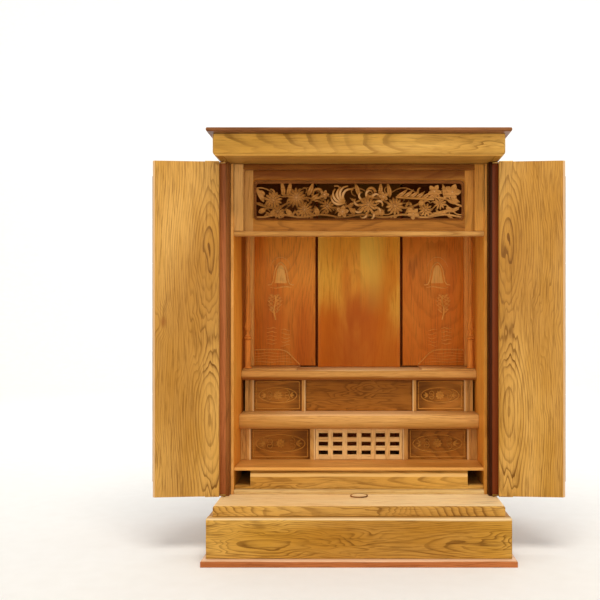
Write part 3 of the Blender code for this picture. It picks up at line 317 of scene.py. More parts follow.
# %% Knots and a branch
KNOT_SPACING = (13.0, 13.0, 7.5)        # cells per metre
knot_point = add(cedar_log, "ShaderNodeVectorMath", {"operation": "MULTIPLY"}, {
    0: given["Point"], 1: KNOT_SPACING,
})
knot_bent = add(cedar_log, "ShaderNodeVectorMath", {"operation": "ADD"}, {
    0: knot_point.outputs[0], 1: quick_shift.outputs[0],
})
knot_cells = add(cedar_log, "ShaderNodeTexVoronoi", {"feature": "F1"}, {
    "Vector": knot_bent.outputs[0], "Scale": 1.0, "Randomness": 1.0,
})
knot_hill = add(cedar_log, "ShaderNodeMapRange", {"interpolation_type": "SMOOTHERSTEP"}, {
    "Value": knot_cells.outputs["Distance"], "From Min": 0.02, "From Max": 0.52,
    "To Min": 1.0, "To Max": 0.0,
})
knot_push = add(cedar_log, "ShaderNodeMath", {"operation": "MULTIPLY"}, {
    0: knot_hill.outputs[0], 1: given["Knots"],
})
pushed = add(cedar_log, "ShaderNodeMath", {"operation": "ADD"}, {
    0: radius.outputs["Value"], 1: knot_push.outputs[0],
})

BRANCH_OVAL = (1.0, 0.0, 0.6)           # a branch leans, so its mark is longer than wide
BRANCH_REACH = 22.0 * MM
branch_gap = add(cedar_log, "ShaderNodeVectorMath", {"operation": "SUBTRACT"}, {
    0: bent.outputs[0], 1: given["Branch"],
})
branch_oval = add(cedar_log, "ShaderNodeVectorMath", {"operation": "MULTIPLY"}, {
    0: branch_gap.outputs[0], 1: BRANCH_OVAL,
})
branch_far = add(cedar_log, "ShaderNodeVectorMath", {"operation": "LENGTH"}, {
    0: branch_oval.outputs[0],
})
branch_hill = add(cedar_log, "ShaderNodeMapRange", {"interpolation_type": "SMOOTHERSTEP"}, {
    "Value": branch_far.outputs["Value"], "From Min": 1.0 * MM, "From Max": BRANCH_REACH,
    "To Min": 1.0, "To Max": 0.0,
})
branch_push = add(cedar_log, "ShaderNodeMath", {"operation": "MULTIPLY_ADD"}, {
    0: branch_hill.outputs[0], 1: given["Branch Push"], 2: pushed.outputs[0],
})
rings = add(cedar_log, "ShaderNodeMath", {"operation": "DIVIDE"}, {
    0: branch_push.outputs[0], 1: given["Ring Width"],
})
print("a branch marks", round(BRANCH_REACH / MM), "mm round it")

# %% [markdown]
# Each year's wood starts pale in spring, darkens slowly and ends in a thin dark line.
# A colour ramp over one ring draws that year. Good and bad summers make some lines bolder
# than others, and all are bold over the heart and fainter towards the board's sides.

# %% The year's line
YEAR = ((0.0, 0.30), (0.07, 0.02), (0.44, 0.06), (0.68, 0.38), (0.86, 1.0), (1.0, 0.90))
FADING = (38.0, 38.0, 13.0)             # waves per metre of the places where lines fade

ring_share = add(cedar_log, "ShaderNodeMath", {"operation": "FRACT"}, {0: rings.outputs[0]})
ring_number = add(cedar_log, "ShaderNodeMath", {"operation": "FLOOR"}, {0: rings.outputs[0]})
season = add(cedar_log, "ShaderNodeTexWhiteNoise", {"noise_dimensions": "1D"}, {
    "W": ring_number.outputs[0],
})
season_strength = add(cedar_log, "ShaderNodeMapRange", {}, {
    "Value": season.outputs["Value"], "To Min": 0.42, "To Max": 1.0,
})
aside = add(cedar_log, "ShaderNodeMath", {"operation": "ABSOLUTE"}, {
    0: bent_split.outputs["X"],
})
near_heart = add(cedar_log, "ShaderNodeMapRange", {"interpolation_type": "SMOOTHSTEP"}, {
    "Value": aside.outputs[0], "From Min": 0.0, "From Max": given["Heart Reach"],
    "To Min": 1.0, "To Max": 0.55,
})
fading = stretched_noise(cedar_log, given["Point"], FADING, detail=1.0)
fading_share = add(cedar_log, "ShaderNodeMapRange", {"interpolation_type": "SMOOTHSTEP"}, {
    "Value": fading.outputs["Fac"], "From Min": 0.36, "From Max": 0.62,
    "To Min": 0.50, "To Max": 1.0,
})
shown = add(cedar_log, "ShaderNodeMath", {"operation": "MULTIPLY"}, {
    0: near_heart.outputs[0], 1: fading_share.outputs[0],
})
shown = add(cedar_log, "ShaderNodeMath", {"operation": "MULTIPLY"}, {
    0: shown.outputs[0], 1: season_strength.outputs[0],
})
year = add(cedar_log, "ShaderNodeValToRGB", {}, {"Fac": ring_share.outputs[0]})
year.color_ramp.interpolation = "EASE"
for place, shade in YEAR[1:-1]:
    year.color_ramp.elements.new(place).color = (shade, shade, shade, 1.0)
for stop, (place, shade) in ((0, YEAR[0]), (-1, YEAR[-1])):
    year.color_ramp.elements[stop].position = place
    year.color_ramp.elements[stop].color = (shade, shade, shade, 1.0)
line = add(cedar_log, "ShaderNodeMath", {"operation": "MULTIPLY"}, {
    0: year.outputs["Color"], 1: shown.outputs[0],
})
print("stops in one year", len(year.color_ramp.elements))

# %% [markdown]
# Between the lines the wood isn't even. Cedar fibres are finer than a tenth of a millimetre
# and would not show, so they are drawn as bundles about 2 mm wide and 38 mm long. A slower
# tint runs with them, and the slow bend of the trunk gives broad darker patches.

# %% Fibres, tint and knot colour
FIBRE_ACROSS = 1 / (2.0 * MM)
FIBRE_ALONG = 1 / (38 * MM)
TINT = (24.0, 24.0, 6.0)                # waves per metre

fibre = stretched_noise(
    cedar_log, bent.outputs[0], (FIBRE_ACROSS, FIBRE_ACROSS, FIBRE_ALONG),
    detail=3.0, roughness=0.65,
)
tint = stretched_noise(cedar_log, given["Point"], TINT, detail=3.0, roughness=0.55)
tint_wide = add(cedar_log, "ShaderNodeMapRange", {"interpolation_type": "SMOOTHSTEP"}, {
    "Value": tint.outputs["Fac"], "From Min": 0.32, "From Max": 0.70,
})
patch = add(cedar_log, "ShaderNodeMapRange", {"interpolation_type": "SMOOTHSTEP"}, {
    "Value": slow.outputs["Fac"], "From Min": 0.40, "From Max": 0.64,
})
knot_heart = add(cedar_log, "ShaderNodeMapRange", {"interpolation_type": "SMOOTHSTEP"}, {
    "Value": knot_cells.outputs["Distance"], "From Min": 0.03, "From Max": 0.16,
    "To Min": 1.0, "To Max": 0.0,
})
knot_dark = add(cedar_log, "ShaderNodeMath", {"operation": "MULTIPLY"}, {
    0: knot_heart.outputs[0], 1: given["Knot Shade"],
})
branch_heart = add(cedar_log, "ShaderNodeMapRange", {"interpolation_type": "SMOOTHSTEP"}, {
    "Value": branch_far.outputs["Value"], "From Min": 0.5 * MM, "From Max": 7.0 * MM,
    "To Min": 0.55, "To Max": 0.0,
})
all_knots = add(cedar_log, "ShaderNodeMath", {"operation": "MAXIMUM"}, {
    0: knot_dark.outputs[0], 1: branch_heart.outputs[0],
})
result = cedar_log.nodes.new("NodeGroupOutput")
for socket, value in (
    ("Line", line.outputs[0]), ("Fibre", fibre.outputs["Fac"]), ("Tint", tint_wide.outputs[0]),
    ("Patch", patch.outputs[0]), ("Knot", all_knots.outputs[0]),
):
    cedar_log.links.new(value, result.inputs[socket])
print("log group has", len(cedar_log.nodes), "nodes")

# %% [markdown]
# Every board here is planed cedar under clear satin lacquer. The wood itself scatters
# light in its fibres and the lacquer adds a smooth, thin coat over it, which is why the
# edges flash pale while the faces stay warm. Finishes differ only in their colours: the
# outside is golden, the chamber is aged orange, the trim is stained red-brown. A finish is
# a row of hex values, so a reader can change a board's wood without touching any node.

# %% Finishes
# Each finish: pale sapwood, everyday tone, deep heartwood, ring line, knot, line strength.
# The golden and figured ones give the eye bold brown figure on yellow; the panel, lining
# and centre ones a glowing orange with little figure; the light, sunlit, lattice and sill
# ones a daylight-bleached edge; red, umber and cap ones a stained, quiet trim. Umber and the
# painted shade one also darken the inner half of the walls' front edges, as painted shade;
# the slab one is pale because it paints the light from above on the slab's top.
FINISHES = {
    "golden_wood": ("D2A052", "BE8A38", "A26C24", "643A10", "8A4A1C", 1.00),
    "figured_wood": ("D6A44E", "C08A2E", "9E641C", "5C3208", "4E260A", 1.00),
    "cornice_wood": ("F6C468", "E6AC48", "C0822C", "744410", "4E260A", 0.90),
    "slab_wood": ("FFE8B4", "FFDCA0", "F4C680", "C08850", "8A5A30", 0.65),
    "slab_edge_wood": ("E6B660", "D29E48", "B07A32", "704416", "5A3210", 1.00),
    "light_wood": ("DCA660", "C8924C", "AE7434", "7E4A1C", "5E3210", 0.70),
    "sunlit_wood": ("FFC070", "E8AB5A", "CA883E", "925820", "6E3C14", 0.50),
    "sill_wood": ("E4C488", "D2AD6C", "BC9050", "8A5A28", "6A4018", 0.60),
    "batten_wood": ("FFC46C", "FFAC54", "F89A40", "BC7030", "7C4C20", 0.45),
    "lattice_wood": ("FAD698", "F0C07C", "D49E58", "966430", "6C4018", 0.50),
    "column_wood": ("F4A250", "E68C3A", "C06A20", "8A4612", "5E3210", 0.60),
    "orange_wood": ("DC9C4C", "C88234", "A0601C", "7A4010", "5A2A08", 0.60),
    "lining_wood": ("FFC254", "FFB044", "F29428", "AC5A14", "6E3408", 0.50),
    "panel_wood": ("F8A03C", "EA8428", "C65E16", "9A4408", "64280A", 0.45),
    "centre_wood": ("FFCC54", "FFB83E", "EA8C24", "A8540C", "64280A", 0.45),
    "relief_wood": ("FFC66C", "FFB456", "EC9C40", "B06820", "80440E", 0.40),
    "shaded_wood": ("C07E34", "A86824", "844A12", "562C08", "42200A", 0.85),
    "scroll_wood": ("D89A48", "C48436", "9A601C", "6A3A0E", "42200A", 0.50),
    "amber_wood": ("D4923F", "C07C34", "9E5C1B", "6A3A10", "4E260A", 0.85),
    "red_wood": ("C07240", "AC6234", "8E4A22", "66300F", "481C0A", 0.60),
    "umber_wood": ("985C2C", "885026", "6E3C18", "4C260C", "301206", 0.50),
    "painted_shade_wood": ("3C140A", "321006", "280C04", "240C03", "1C0802", 0.50),
    "cap_wood": ("94603A", "825030", "6A3C20", "46260E", "2A1206", 0.60),
    "back_wood": ("B87C44", "A06630", "82481C", "5A2E12", "401E0A", 0.70),
    "glowing_wood": ("F07830", "E06018", "C04C10", "842C06", "501402", 0.40),
    "carved_wood": ("DA9E58", "C4863E", "985E26", "7A461A", "5A2E0E", 0.50),
}
print("finishes", len(FINISHES))

# %% [markdown]
# Marks that don't follow the grain are laid over it: real stains, and painted light, which is
# painted shade under a ceiling and in corners and painted highlights on edges. Each is laid
# like a stain, with a colour, a share and soft ramps along the axes, given in metres. The
# tint of the wood makes the ramps' ends wander, as a real stain's do.

# %% Stains and painted light
RAMP_WANDER = 0.6               # how far a ramp's ends move with the tint, as a share of it


def ramp_share(tree, split, unevenness, ramps):
    """Multiply soft ramps along axes, whose ends wander with the tint of the wood."""
    share = None
    for axis, start, full in ramps:
        climb = add(tree, "ShaderNodeMapRange", {"clamp": False}, {
            "Value": split.outputs[axis], "From Min": start, "From Max": full,
        })
        uneven = add(tree, "ShaderNodeMath", {"operation": "MULTIPLY_ADD"}, {
            0: unevenness, 1: RAMP_WANDER, 2: climb.outputs[0],
        })
        soft = add(tree, "ShaderNodeMapRange", {"interpolation_type": "SMOOTHSTEP"}, {
            "Value": uneven.outputs[0],
            "From Min": RAMP_WANDER / 2, "From Max": 1 + RAMP_WANDER / 2,
        })
        if share is None:
            share = soft.outputs[0]
        else:
            share = add(tree, "ShaderNodeMath", {"operation": "MULTIPLY"}, {
                0: share, 1: soft.outputs[0],
            }).outputs[0]
    return share


def lay_stains_and_painted_light(tree, wood, split, unevenness, stains):
    """Lay each stain and each painted highlight and shade over the wood's colour in turn."""
    for colour, share, ramps in stains:
        amount = add(tree, "ShaderNodeMath", {"operation": "MULTIPLY"}, {
            0: ramp_share(tree, split, unevenness, ramps), 1: share,
        })
        wood = add(tree, "ShaderNodeMix", {"data_type": "RGBA"}, {
            0: amount.outputs[0], 6: wood.outputs[2], 7: paint(colour),
        })
    return wood


print("a stain's ends wander by", RAMP_WANDER, "of its ramp")

# %% [markdown]
# A board is a slice of the log, so its points are turned and moved into the log's own
# frame: the grain along the log's Z, the show face across its X, and its depth along Y.
# Object coordinates serve here, because they don't stretch when a board is long.

# %% A board's place in the log
FAR_AWAY = 9.0                  # metres, for a branch that a board hasn't got
BRANCH_PUSH = 9.0 * MM


def place_in_log(tree, split, along, across, heart, cut):
    """Give the log group the point that a board's point has in its log."""
    turned = add(tree, "ShaderNodeCombineXYZ", {}, {
        "X": split.outputs[across], "Y": split.outputs[3 - along - across],
        "Z": split.outputs[along],
    })
    place = add(tree, "ShaderNodeVectorMath", {"operation": "SUBTRACT"}, {
        0: turned.outputs[0], 1: (heart[0], heart[1], cut["start"]),
    })
    branch = [FAR_AWAY, 0.0, FAR_AWAY]
    if cut["branch"]:
        branch = [cut["branch"][0] - heart[0], 0.0, cut["branch"][1] - cut["start"]]
    return add(tree, "ShaderNodeGroup", {"node_tree": cedar_log}, {
        "Point": place.outputs[0], "Ring Width": cut["ring"] * MM,
        "Wave Height": cut["wave"] * MM, "Wave Length": cut["length"] * MM,
        "Lean": cut["lean"], "Knots": cut["knots"] * MM, "Wander": cut["wander"] * MM,
        "Heart Reach": cut["reach"] * MM, "Branch": branch, "Branch Push": BRANCH_PUSH,
        "Knot Shade": cut["shade"],
    })


print("a branch pushes the rings", round(BRANCH_PUSH / MM), "mm")

# %% [markdown]
# One material is one board. It asks the log group for its lines and paints them with the
# finish: sapwood and heartwood first, then the rings, the fibres, the knots, and last the
# stains and the painted highlights and shade.
# The lacquer is the shader's coat; the fibres lift it by a twentieth of a millimetre, which
# breaks up the reflections as planed wood does.

# %% Planed cedar
FIBRE_STRENGTH = 0.60
FIBRE_DEPTH = 0.05 * MM
LACQUER_AMBER = "E8A050"        # old lacquer tints what it reflects as well


def planed_cedar(name, finish, along, across, heart, cut):
    """Make one board's own cut of lacquered cedar.

    along and across are axes: the one that the grain runs along, and the one across the
    board's show face. heart is where the log's heart lies on the across axis and on the
    remaining one. cut holds the log's ring width, wave, lean, knots and wander, and the
    stains and painted light: a colour, its share, and the ramps that it follows. The painted
    light is painted shade in corners and under things, and painted highlights on edges.
    """
    pale, mid, deep, line, knot = (paint(colour) for colour in FINISHES[finish][:5])
    line_strength = FINISHES[finish][5] * cut["lines"]
    material = bpy.data.materials.new(name)
    material.use_nodes = True
    tree = material.node_tree
    shader = tree.nodes["Principled BSDF"]
    shader.inputs["IOR"].default_value = 1.5
    shader.inputs["Specular IOR Level"].default_value = 0.22
    shader.inputs["Specular Tint"].default_value = paint(LACQUER_AMBER)
    shader.inputs["Coat Weight"].default_value = cut["gloss"]
    shader.inputs["Coat Roughness"].default_value = 0.20
    spot = add(tree, "ShaderNodeTexCoord", {}, {})
    split = add(tree, "ShaderNodeSeparateXYZ", {}, {0: spot.outputs["Object"]})
    log = place_in_log(tree, split, along, across, heart, cut)
    body = add(tree, "ShaderNodeMix", {"data_type": "RGBA"}, {
        0: log.outputs["Tint"], 6: pale, 7: mid,
    })
    patch_share = add(tree, "ShaderNodeMath", {"operation": "MULTIPLY"}, {
        0: log.outputs["Patch"], 1: cut["patch"],
    })
    patched = add(tree, "ShaderNodeMix", {"data_type": "RGBA"}, {
        0: patch_share.outputs[0], 6: body.outputs[2], 7: deep,
    })
    line_share = add(tree, "ShaderNodeMath", {"operation": "MULTIPLY"}, {
        0: log.outputs["Line"], 1: line_strength,
    })
    ringed = add(tree, "ShaderNodeMix", {"data_type": "RGBA"}, {
        0: line_share.outputs[0], 6: patched.outputs[2], 7: line,
    })
    fibre_share = add(tree, "ShaderNodeMapRange", {}, {
        "Value": log.outputs["Fibre"], "From Min": 0.50, "From Max": 0.72,
        "To Min": 0.0, "To Max": FIBRE_STRENGTH,
    })
    streaked = add(tree, "ShaderNodeMix", {"data_type": "RGBA"}, {
        0: fibre_share.outputs[0], 6: ringed.outputs[2], 7: line,
    })
    knotted = add(tree, "ShaderNodeMix", {"data_type": "RGBA"}, {
        0: log.outputs["Knot"], 6: streaked.outputs[2], 7: knot,
    })
    # Last come the stains and the painted highlights and shade.
    stain_and_shade = lay_stains_and_painted_light(tree, knotted, split, log.outputs["Tint"], cut["stains"])
    tree.links.new(stain_and_shade.outputs[2], shader.inputs["Base Color"])
    satin = add(tree, "ShaderNodeMapRange", {}, {
        "Value": log.outputs["Fibre"], "From Min": 0.3, "From Max": 0.7,
        "To Min": 0.38, "To Max": 0.50,
    })
    tree.links.new(satin.outputs[0], shader.inputs["Roughness"])
    relief = add(tree, "ShaderNodeMath", {"operation": "SUBTRACT"}, {
        0: log.outputs["Fibre"], 1: line_share.outputs[0],
    })
    bump = add(tree, "ShaderNodeBump", {}, {
        "Height": relief.outputs[0], "Strength": 0.35, "Distance": FIBRE_DEPTH,
    })
    tree.links.new(bump.outputs["Normal"], shader.inputs["Normal"])
    return material


print("fibres lift the lacquer", round(FIBRE_DEPTH / MM, 2), "mm")

# %% [markdown]
# A sawyer turns each log to get a different face from it. Most boards here share one usual
# cut, in millimetres, and each names only what it has of its own. Where a board starts in
# its log follows from the letters of its name, so that no two boards show the same figure.

# %% Cuts
USUAL_CUT = {
    "ring": 2.6, "wave": 3.0, "length": 330.0, "lean": 0.02, "knots": 0.0, "wander": 20.0,
    "start": 0.0, "off": 0.0, "depth": 34.0, "reach": 60.0, "branch": None, "lines": 1.0,
    "patch": 0.55, "shade": 0.4, "stains": (), "gloss": 0.10,
}
INSIDE = {"gloss": 0.04}
X, Y, Z = 0, 1, 2


def cut_for(node, finish, along, across, **changes):
    """Choose a cut for a board from where it stands, so that no two boards match."""
    low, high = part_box(node)
    deep = 3 - along - across
    cut = {**USUAL_CUT, **changes}
    middle = (low + high) / 2
    seed = sum(ord(letter) for letter in node) % 17
    cut["start"] += 0.83 * seed
    heart = (middle[across] + cut["off"] * MM, low[deep] + cut["depth"] * MM)
    return planed_cedar(f"{finish}_{node}", finish, along, across, heart, cut)


print("usual rings", USUAL_CUT["ring"], "mm wide")

# %% [markdown]
# A maker takes the sharpness off every edge with a plane and fine paper. The packed
# solids have bare corners, so each board gets a dressed copy: flat facets are merged,
# the corners get a fine rounded arris, and the shading runs smooth over it. A modifier
# makes the arris, because its width can then be changed without rebuilding the mesh.

# %% Dressed boards
def dress(node, arris=0.5, splits=(), name=None):
    """Copy a node's solid, soften its edges and let it stand for the node."""
    bm = bmesh.new()
    bm.from_mesh(frame["nodes"][node].data)
    bmesh.ops.remove_doubles(bm, verts=bm.verts, dist=1e-6)
    bmesh.ops.dissolve_limit(
        bm, angle_limit=math.radians(1), verts=bm.verts, edges=bm.edges,
    )
    for axis, level in splits:
        normal = [0, 0, 0]
        normal[axis] = 1
        point = [0, 0, 0]
        point[axis] = level
        bmesh.ops.bisect_plane(
            bm, geom=bm.verts[:] + bm.edges[:] + bm.faces[:], plane_co=point,
            plane_no=normal, dist=1e-6,
        )
    mesh = bpy.data.meshes.new(name or f"dressed_{node}")
    bm.to_mesh(mesh)
    bm.free()
    item = bpy.data.objects.new(mesh.name, mesh)
    bpy.context.scene.collection.objects.link(item)
    mesh.shade_smooth()
    mesh.set_sharp_from_angle(angle=math.radians(35))
    if arris:
        bevel = item.modifiers.new("arris", "BEVEL")
        bevel.width = arris * MM
        bevel.segments = 3
        bevel.limit_method = "ANGLE"
        bevel.angle_limit = math.radians(40)
        bevel.use_clamp_overlap = True
        bevel.harden_normals = True
    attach(item, BODY_OF[node])
    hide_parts(node)
    return item


def settle(piece, node):
    """Let a new piece ride on a node's body and stand for the node, whose solid it hides."""
    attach(piece, BODY_OF[node])
    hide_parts(node)
    return piece


print("an arris is half a millimetre wide, unless a board says otherwise")

# %% [markdown]
# Four door leaves are sawn from one golden log and set edge to edge, so that the figure
# mirrors across the opening. Each visible face has long ovals beside its inner edge, where
# the saw just grazed the heart. The lengthwise place of those ovals is chosen, and the rest
# of the figure follows from the log. The outer edges carry a painted highlight, where their
# rounded arris catches the light.

# %% Doors
OVAL_HEIGHT = 0.428             # height of the middle of the doors' ovals
HEART_DEPTH = 16 * MM           # behind the face of the open door
for side, sign in (("left", -1), ("right", 1)):
    for word, offset, start in (("door", -33, OVAL_HEIGHT), ("folding", 20, 0.21)):
        node = f"{side}_{word}_leaf"
        board = dress(node, 0.35)
        low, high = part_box(node)
        middle = (low[X] + high[X]) / 2
        face = low[Y] + 8 * MM if word == "door" else high[Y] - 2 * HEART_DEPTH
        outer = low[X] if sign < 0 else high[X]
        # A painted highlight along the outer edge, where the rounded arris catches the light.
        outer_edge_highlight = ("E6BC90", 0.8, [(X, outer - sign * 5 * MM, outer - sign * 4 * MM)])
        cut = {**USUAL_CUT, "ring": 3.2, "wave": 7.0, "length": 235.0, "lean": 0.0,
               "wander": 12.0, "reach": 30.0, "start": start + 0.012 * (side == "right"),
               "patch": 0.60, "knots": 6.0, "shade": 0.0, "stains": [outer_edge_highlight]}
        if side == "left":
            cut["branch"] = (middle + sign * 30 * MM, 0.333)
        heart = (middle + sign * offset * MM, face + HEART_DEPTH)
        board.data.materials.append(
            planed_cedar(f"golden_wood_{node}", "golden_wood", Z, X, heart, cut),
        )
print("doors dressed, ovals", OVAL_HEIGHT, "m up")

# %% [markdown]
# The base and the cornice are the boards that a buyer sees first, so they are sawn where
# the figure is liveliest. Their grain runs level, round the front and along the sides. The
# skirting and the cap are stained red-brown. The top of the skirting and the plinth's top
# arris carry a painted highlight, for the light that falls on them from above. The cornice's
# moulded foot turns from the light and is painted in shade, and its underside gets a painted
# pale band for the light that reaches it.

# %% Outside boards
# Painted highlights on the skirting's top and the plinth's top arris; painted shade on the
# cornice's foot and painted light on its underside.
SKIRTING_TOP_HIGHLIGHT = [("F2C8A0", 0.85, [(Z, 0.0070, 0.0090)])]
PLINTH_ARRIS_HIGHLIGHT = ("F6D8A4", 0.8, [(Z, 0.0605, 0.0632), (Y, -0.1480, -0.1560)])
CORNICE_FOOT_SHADE = ("B08038", 0.70, [(Z, 0.5860, 0.5720)])
CORNICE_UNDERSIDE_LIGHT = ("F4C060", 0.9, [(Z, 0.5660, 0.5655)])
for node, finish, along, across, changes in (
    ("plinth_front", "figured_wood", X, Z,
     {"knots": 7.0, "wander": 14.0, "depth": 17, "lean": 0.0, "ring": 2.3, "wave": 5.0,
      "length": 330.0, "off": -8.0, "lines": 0.85, "stains": [PLINTH_ARRIS_HIGHLIGHT]}),
    ("plinth_left", "figured_wood", Y, Z, {"knots": 10.0, "depth": 24}),
    ("plinth_right", "figured_wood", Y, Z, {"knots": 10.0, "depth": 24}),
    ("cornice_front", "cornice_wood", X, Z,
     {"knots": 5.0, "wander": 26.0, "depth": 20, "lean": 0.06, "ring": 2.6,
      "stains": [CORNICE_FOOT_SHADE, CORNICE_UNDERSIDE_LIGHT]}),
    ("cornice_left", "figured_wood", Y, Z, {"knots": 6.0, "depth": 22}),
    ("cornice_right", "figured_wood", Y, Z, {"knots": 6.0, "depth": 22}),
    ("cap_board", "cap_wood", X, Y, {"depth": -40, "ring": 2.2}),
    ("skirting_front", "red_wood", X, Y, {"depth": -30, "ring": 2.2, "stains": SKIRTING_TOP_HIGHLIGHT}),
    ("skirting_left", "red_wood", Y, X, {"depth": -30, "ring": 2.2, "stains": SKIRTING_TOP_HIGHLIGHT}),
    ("skirting_right", "red_wood", Y, X, {"depth": -30, "ring": 2.2, "stains": SKIRTING_TOP_HIGHLIGHT}),
    ("ceiling_board", "golden_wood", X, Y, {}),
):
    board = dress(node, 0.5)
    board.data.materials.append(cut_for(node, finish, along, across, **changes))
print("outside boards dressed")

# %% [markdown]
# The two walls are stained red-brown. A face nearer the middle than the split gets the
# second finish: painted shade on the inner half of each wall's front edge, which the recess
# keeps from the light. The outer face stands a millimetre further out than the imported
# wall, which leaves the folded leaf its clearance and closes the gap beside it. The right
# wall's front edge is painted in deeper shade than the left one's, darkest at the front, so
# it takes a stain that the left one hasn't got.

# %% Walls
def two_tone(item, is_second, first, second):
    """Give an object two materials, the second one on the faces that a test picks."""
    item.data.materials.append(first)
    item.data.materials.append(second)
    for face in item.data.polygons:
        face.material_index = 1 if is_second(face.center) else 0


WALL_SPREAD = 1.0 * MM
SHADED_HALF = 5.2 * MM
# Each wall's second finish is painted shade on the inner half of its front edge.
for side, second, sign in (("left", "umber_wood", -1), ("right", "painted_shade_wood", 1)):
    node = f"wall_{side}"
    low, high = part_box(node)
    inner = min(abs(low.x), abs(high.x))
    outer = max(abs(low.x), abs(high.x))
    split = inner + SHADED_HALF
    # Painted shade on the right wall's front edge, darkest at the front.
    stain_and_shade = ("6C2608", 0.85, [(Y, low.y + 9 * MM, low.y + 5 * MM)])
    board = dress(node, 0.3, [(X, sign * split)])
    for vertex in board.data.vertices:
        if abs(vertex.co.x) > outer - 2 * MM:
            vertex.co.x = sign * (outer + WALL_SPREAD)
            if vertex.co.y < low.y + 4 * MM:
                vertex.co.y = low.y
    two_tone(
        board, lambda at: abs(at.x) < split,
        cut_for(node, "red_wood", Z, Y, ring=2.4, depth=60,
                stains=[stain_and_shade] if side == "right" else []),
        cut_for(node, second, Z, Y, ring=2.4, depth=60, **INSIDE),
    )
print("walls dressed, front edges split", round(SHADED_HALF / MM, 1), "mm from the opening")

# %% [markdown]
# The slab under the body is one wide board. Its top is painted paler than its front edge,
# as painted light from above. The back board is plain outside, and its inner face is stained
# like the chamber, so the gaps beside the panels glow red. Both are two-tone pieces: the
# faces that look forward get a wood of their own.

# %% Base slab and back board
low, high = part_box("base_slab")
slab = dress("base_slab", 0.5)
slab_front = low.y + 1 * MM
# The top's pale finish is painted light from above; the front edge keeps the wood's own tone.
two_tone(
    slab, lambda at: at.y < slab_front,
    cut_for("base_slab", "slab_wood", X, Y, knots=4.0, wander=26.0, depth=-20),
    cut_for("base_slab", "slab_edge_wood", X, Z, knots=6.0, depth=26, lean=0.15, ring=2.4,
            wander=30.0, wave=6.0, length=300.0),
)
low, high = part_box("back_board")
back = dress("back_board", 0.5)
back_inside = low.y + 1 * MM
two_tone(
    back, lambda at: at.y < back_inside,
    cut_for("back_board", "back_wood", Z, X, ring=4.2, wave=8.0, depth=30),
    cut_for("back_board", "glowing_wood", Z, X, ring=4.2, wave=8.0, depth=30, **INSIDE),
)
print("slab and back board dressed")

# %% [markdown]
# Inside, colour is laid on in stains more than in figure. The boards above the opening,
# behind the openwork, are painted dark, as painted shade. The centre panel is gold above and
# redder below, with a streak of sapwood near its top. Painted shade lies high on the small
# panels, at their inner ends and on the shelves' lower fronts; painted highlights run along
# the shelves' tops, the ledge's edge, the pull-out board's bevel and the uprights' inner
# edges; and the linings carry a painted shadow behind the columns. All ramps are places in
# metres.

# %% Stains, painted shade and painted highlights of the chamber
# Painted shade over the chamber's top, behind the openwork.
CHAMBER_TOP_SHADE = ("2C1004", 0.92, [(Z, 0.484, 0.502)])
LOW_RED = ("D0661A", 0.85, [(Z, 0.460, 0.320)])
SAP_STREAK = ("FFD85C", 0.55, [(X, 0.000, 0.004), (X, 0.046, 0.014), (Z, 0.345, 0.450)])
RED_HEART = ("AC480E", 0.55, [(X, -0.060, -0.006), (X, 0.040, -0.014), (Z, 0.410, 0.320)])
# Painted shade on the shelves' lower fronts; painted highlights on their tops, the ledge's front
# edge and the pull-out board's bevel.
UPPER_SHELF_FOOT_SHADE = ("8A4C16", 0.80, [(Z, 0.2475, 0.2440)])
LEDGE_EDGE_HIGHLIGHT = ("ECB060", 0.50, [(Y, -0.0585, -0.0610)])
LOWER_SHELF_FOOT_SHADE = ("B47C38", 0.60, [(Z, 0.1815, 0.1750)])
BOARD_BEVEL_HIGHLIGHT = ("F4C880", 0.75, [(Z, 0.1026, 0.1040), (Z, 0.1084, 0.1070)])
UPPER_SHELF_HIGHLIGHT = ("FFDCA0", 0.60, [(Z, 0.2545, 0.2562), (X, -0.150, -0.040), (X, 0.150, 0.040)])
LOWER_SHELF_HIGHLIGHT = ("FFCE94", 0.50, [(Z, 0.1866, 0.1882), (X, -0.170, -0.060), (X, 0.170, 0.060)])
# Painted shadows of the shelves on the small panels' upper parts.
UPPER_PANEL_SHADOW = ("5A2A0A", 0.60, [(Z, 0.2330, 0.2395)])
LOWER_PANEL_SHADOW = ("5A2A0A", 0.45, [(Z, 0.1590, 0.1665)])


def inner_edge_highlight(inner, sign):
    """A painted highlight on the edge of an upright that looks at the middle."""
    return ("FFE0A8", 0.45, [(X, inner + sign * 2.4 * MM, inner + sign * 1.2 * MM)])


def inner_end_shade(inner, sign):
    """Painted shade at a small panel's inner end."""
    return ("4A2208", 0.60, [(X, inner + sign * 30 * MM, inner + sign * 4 * MM)])


print("top_shade begins", CHAMBER_TOP_SHADE[2][0][1], "m up")

# %% [markdown]
# The shelves and ledges run level with their grain, the panels and uprights stand. Each
# board gets the cut, the finish, and the stains and painted light of its own place, and a
# finer arris than the outside has, because the pieces are slimmer.

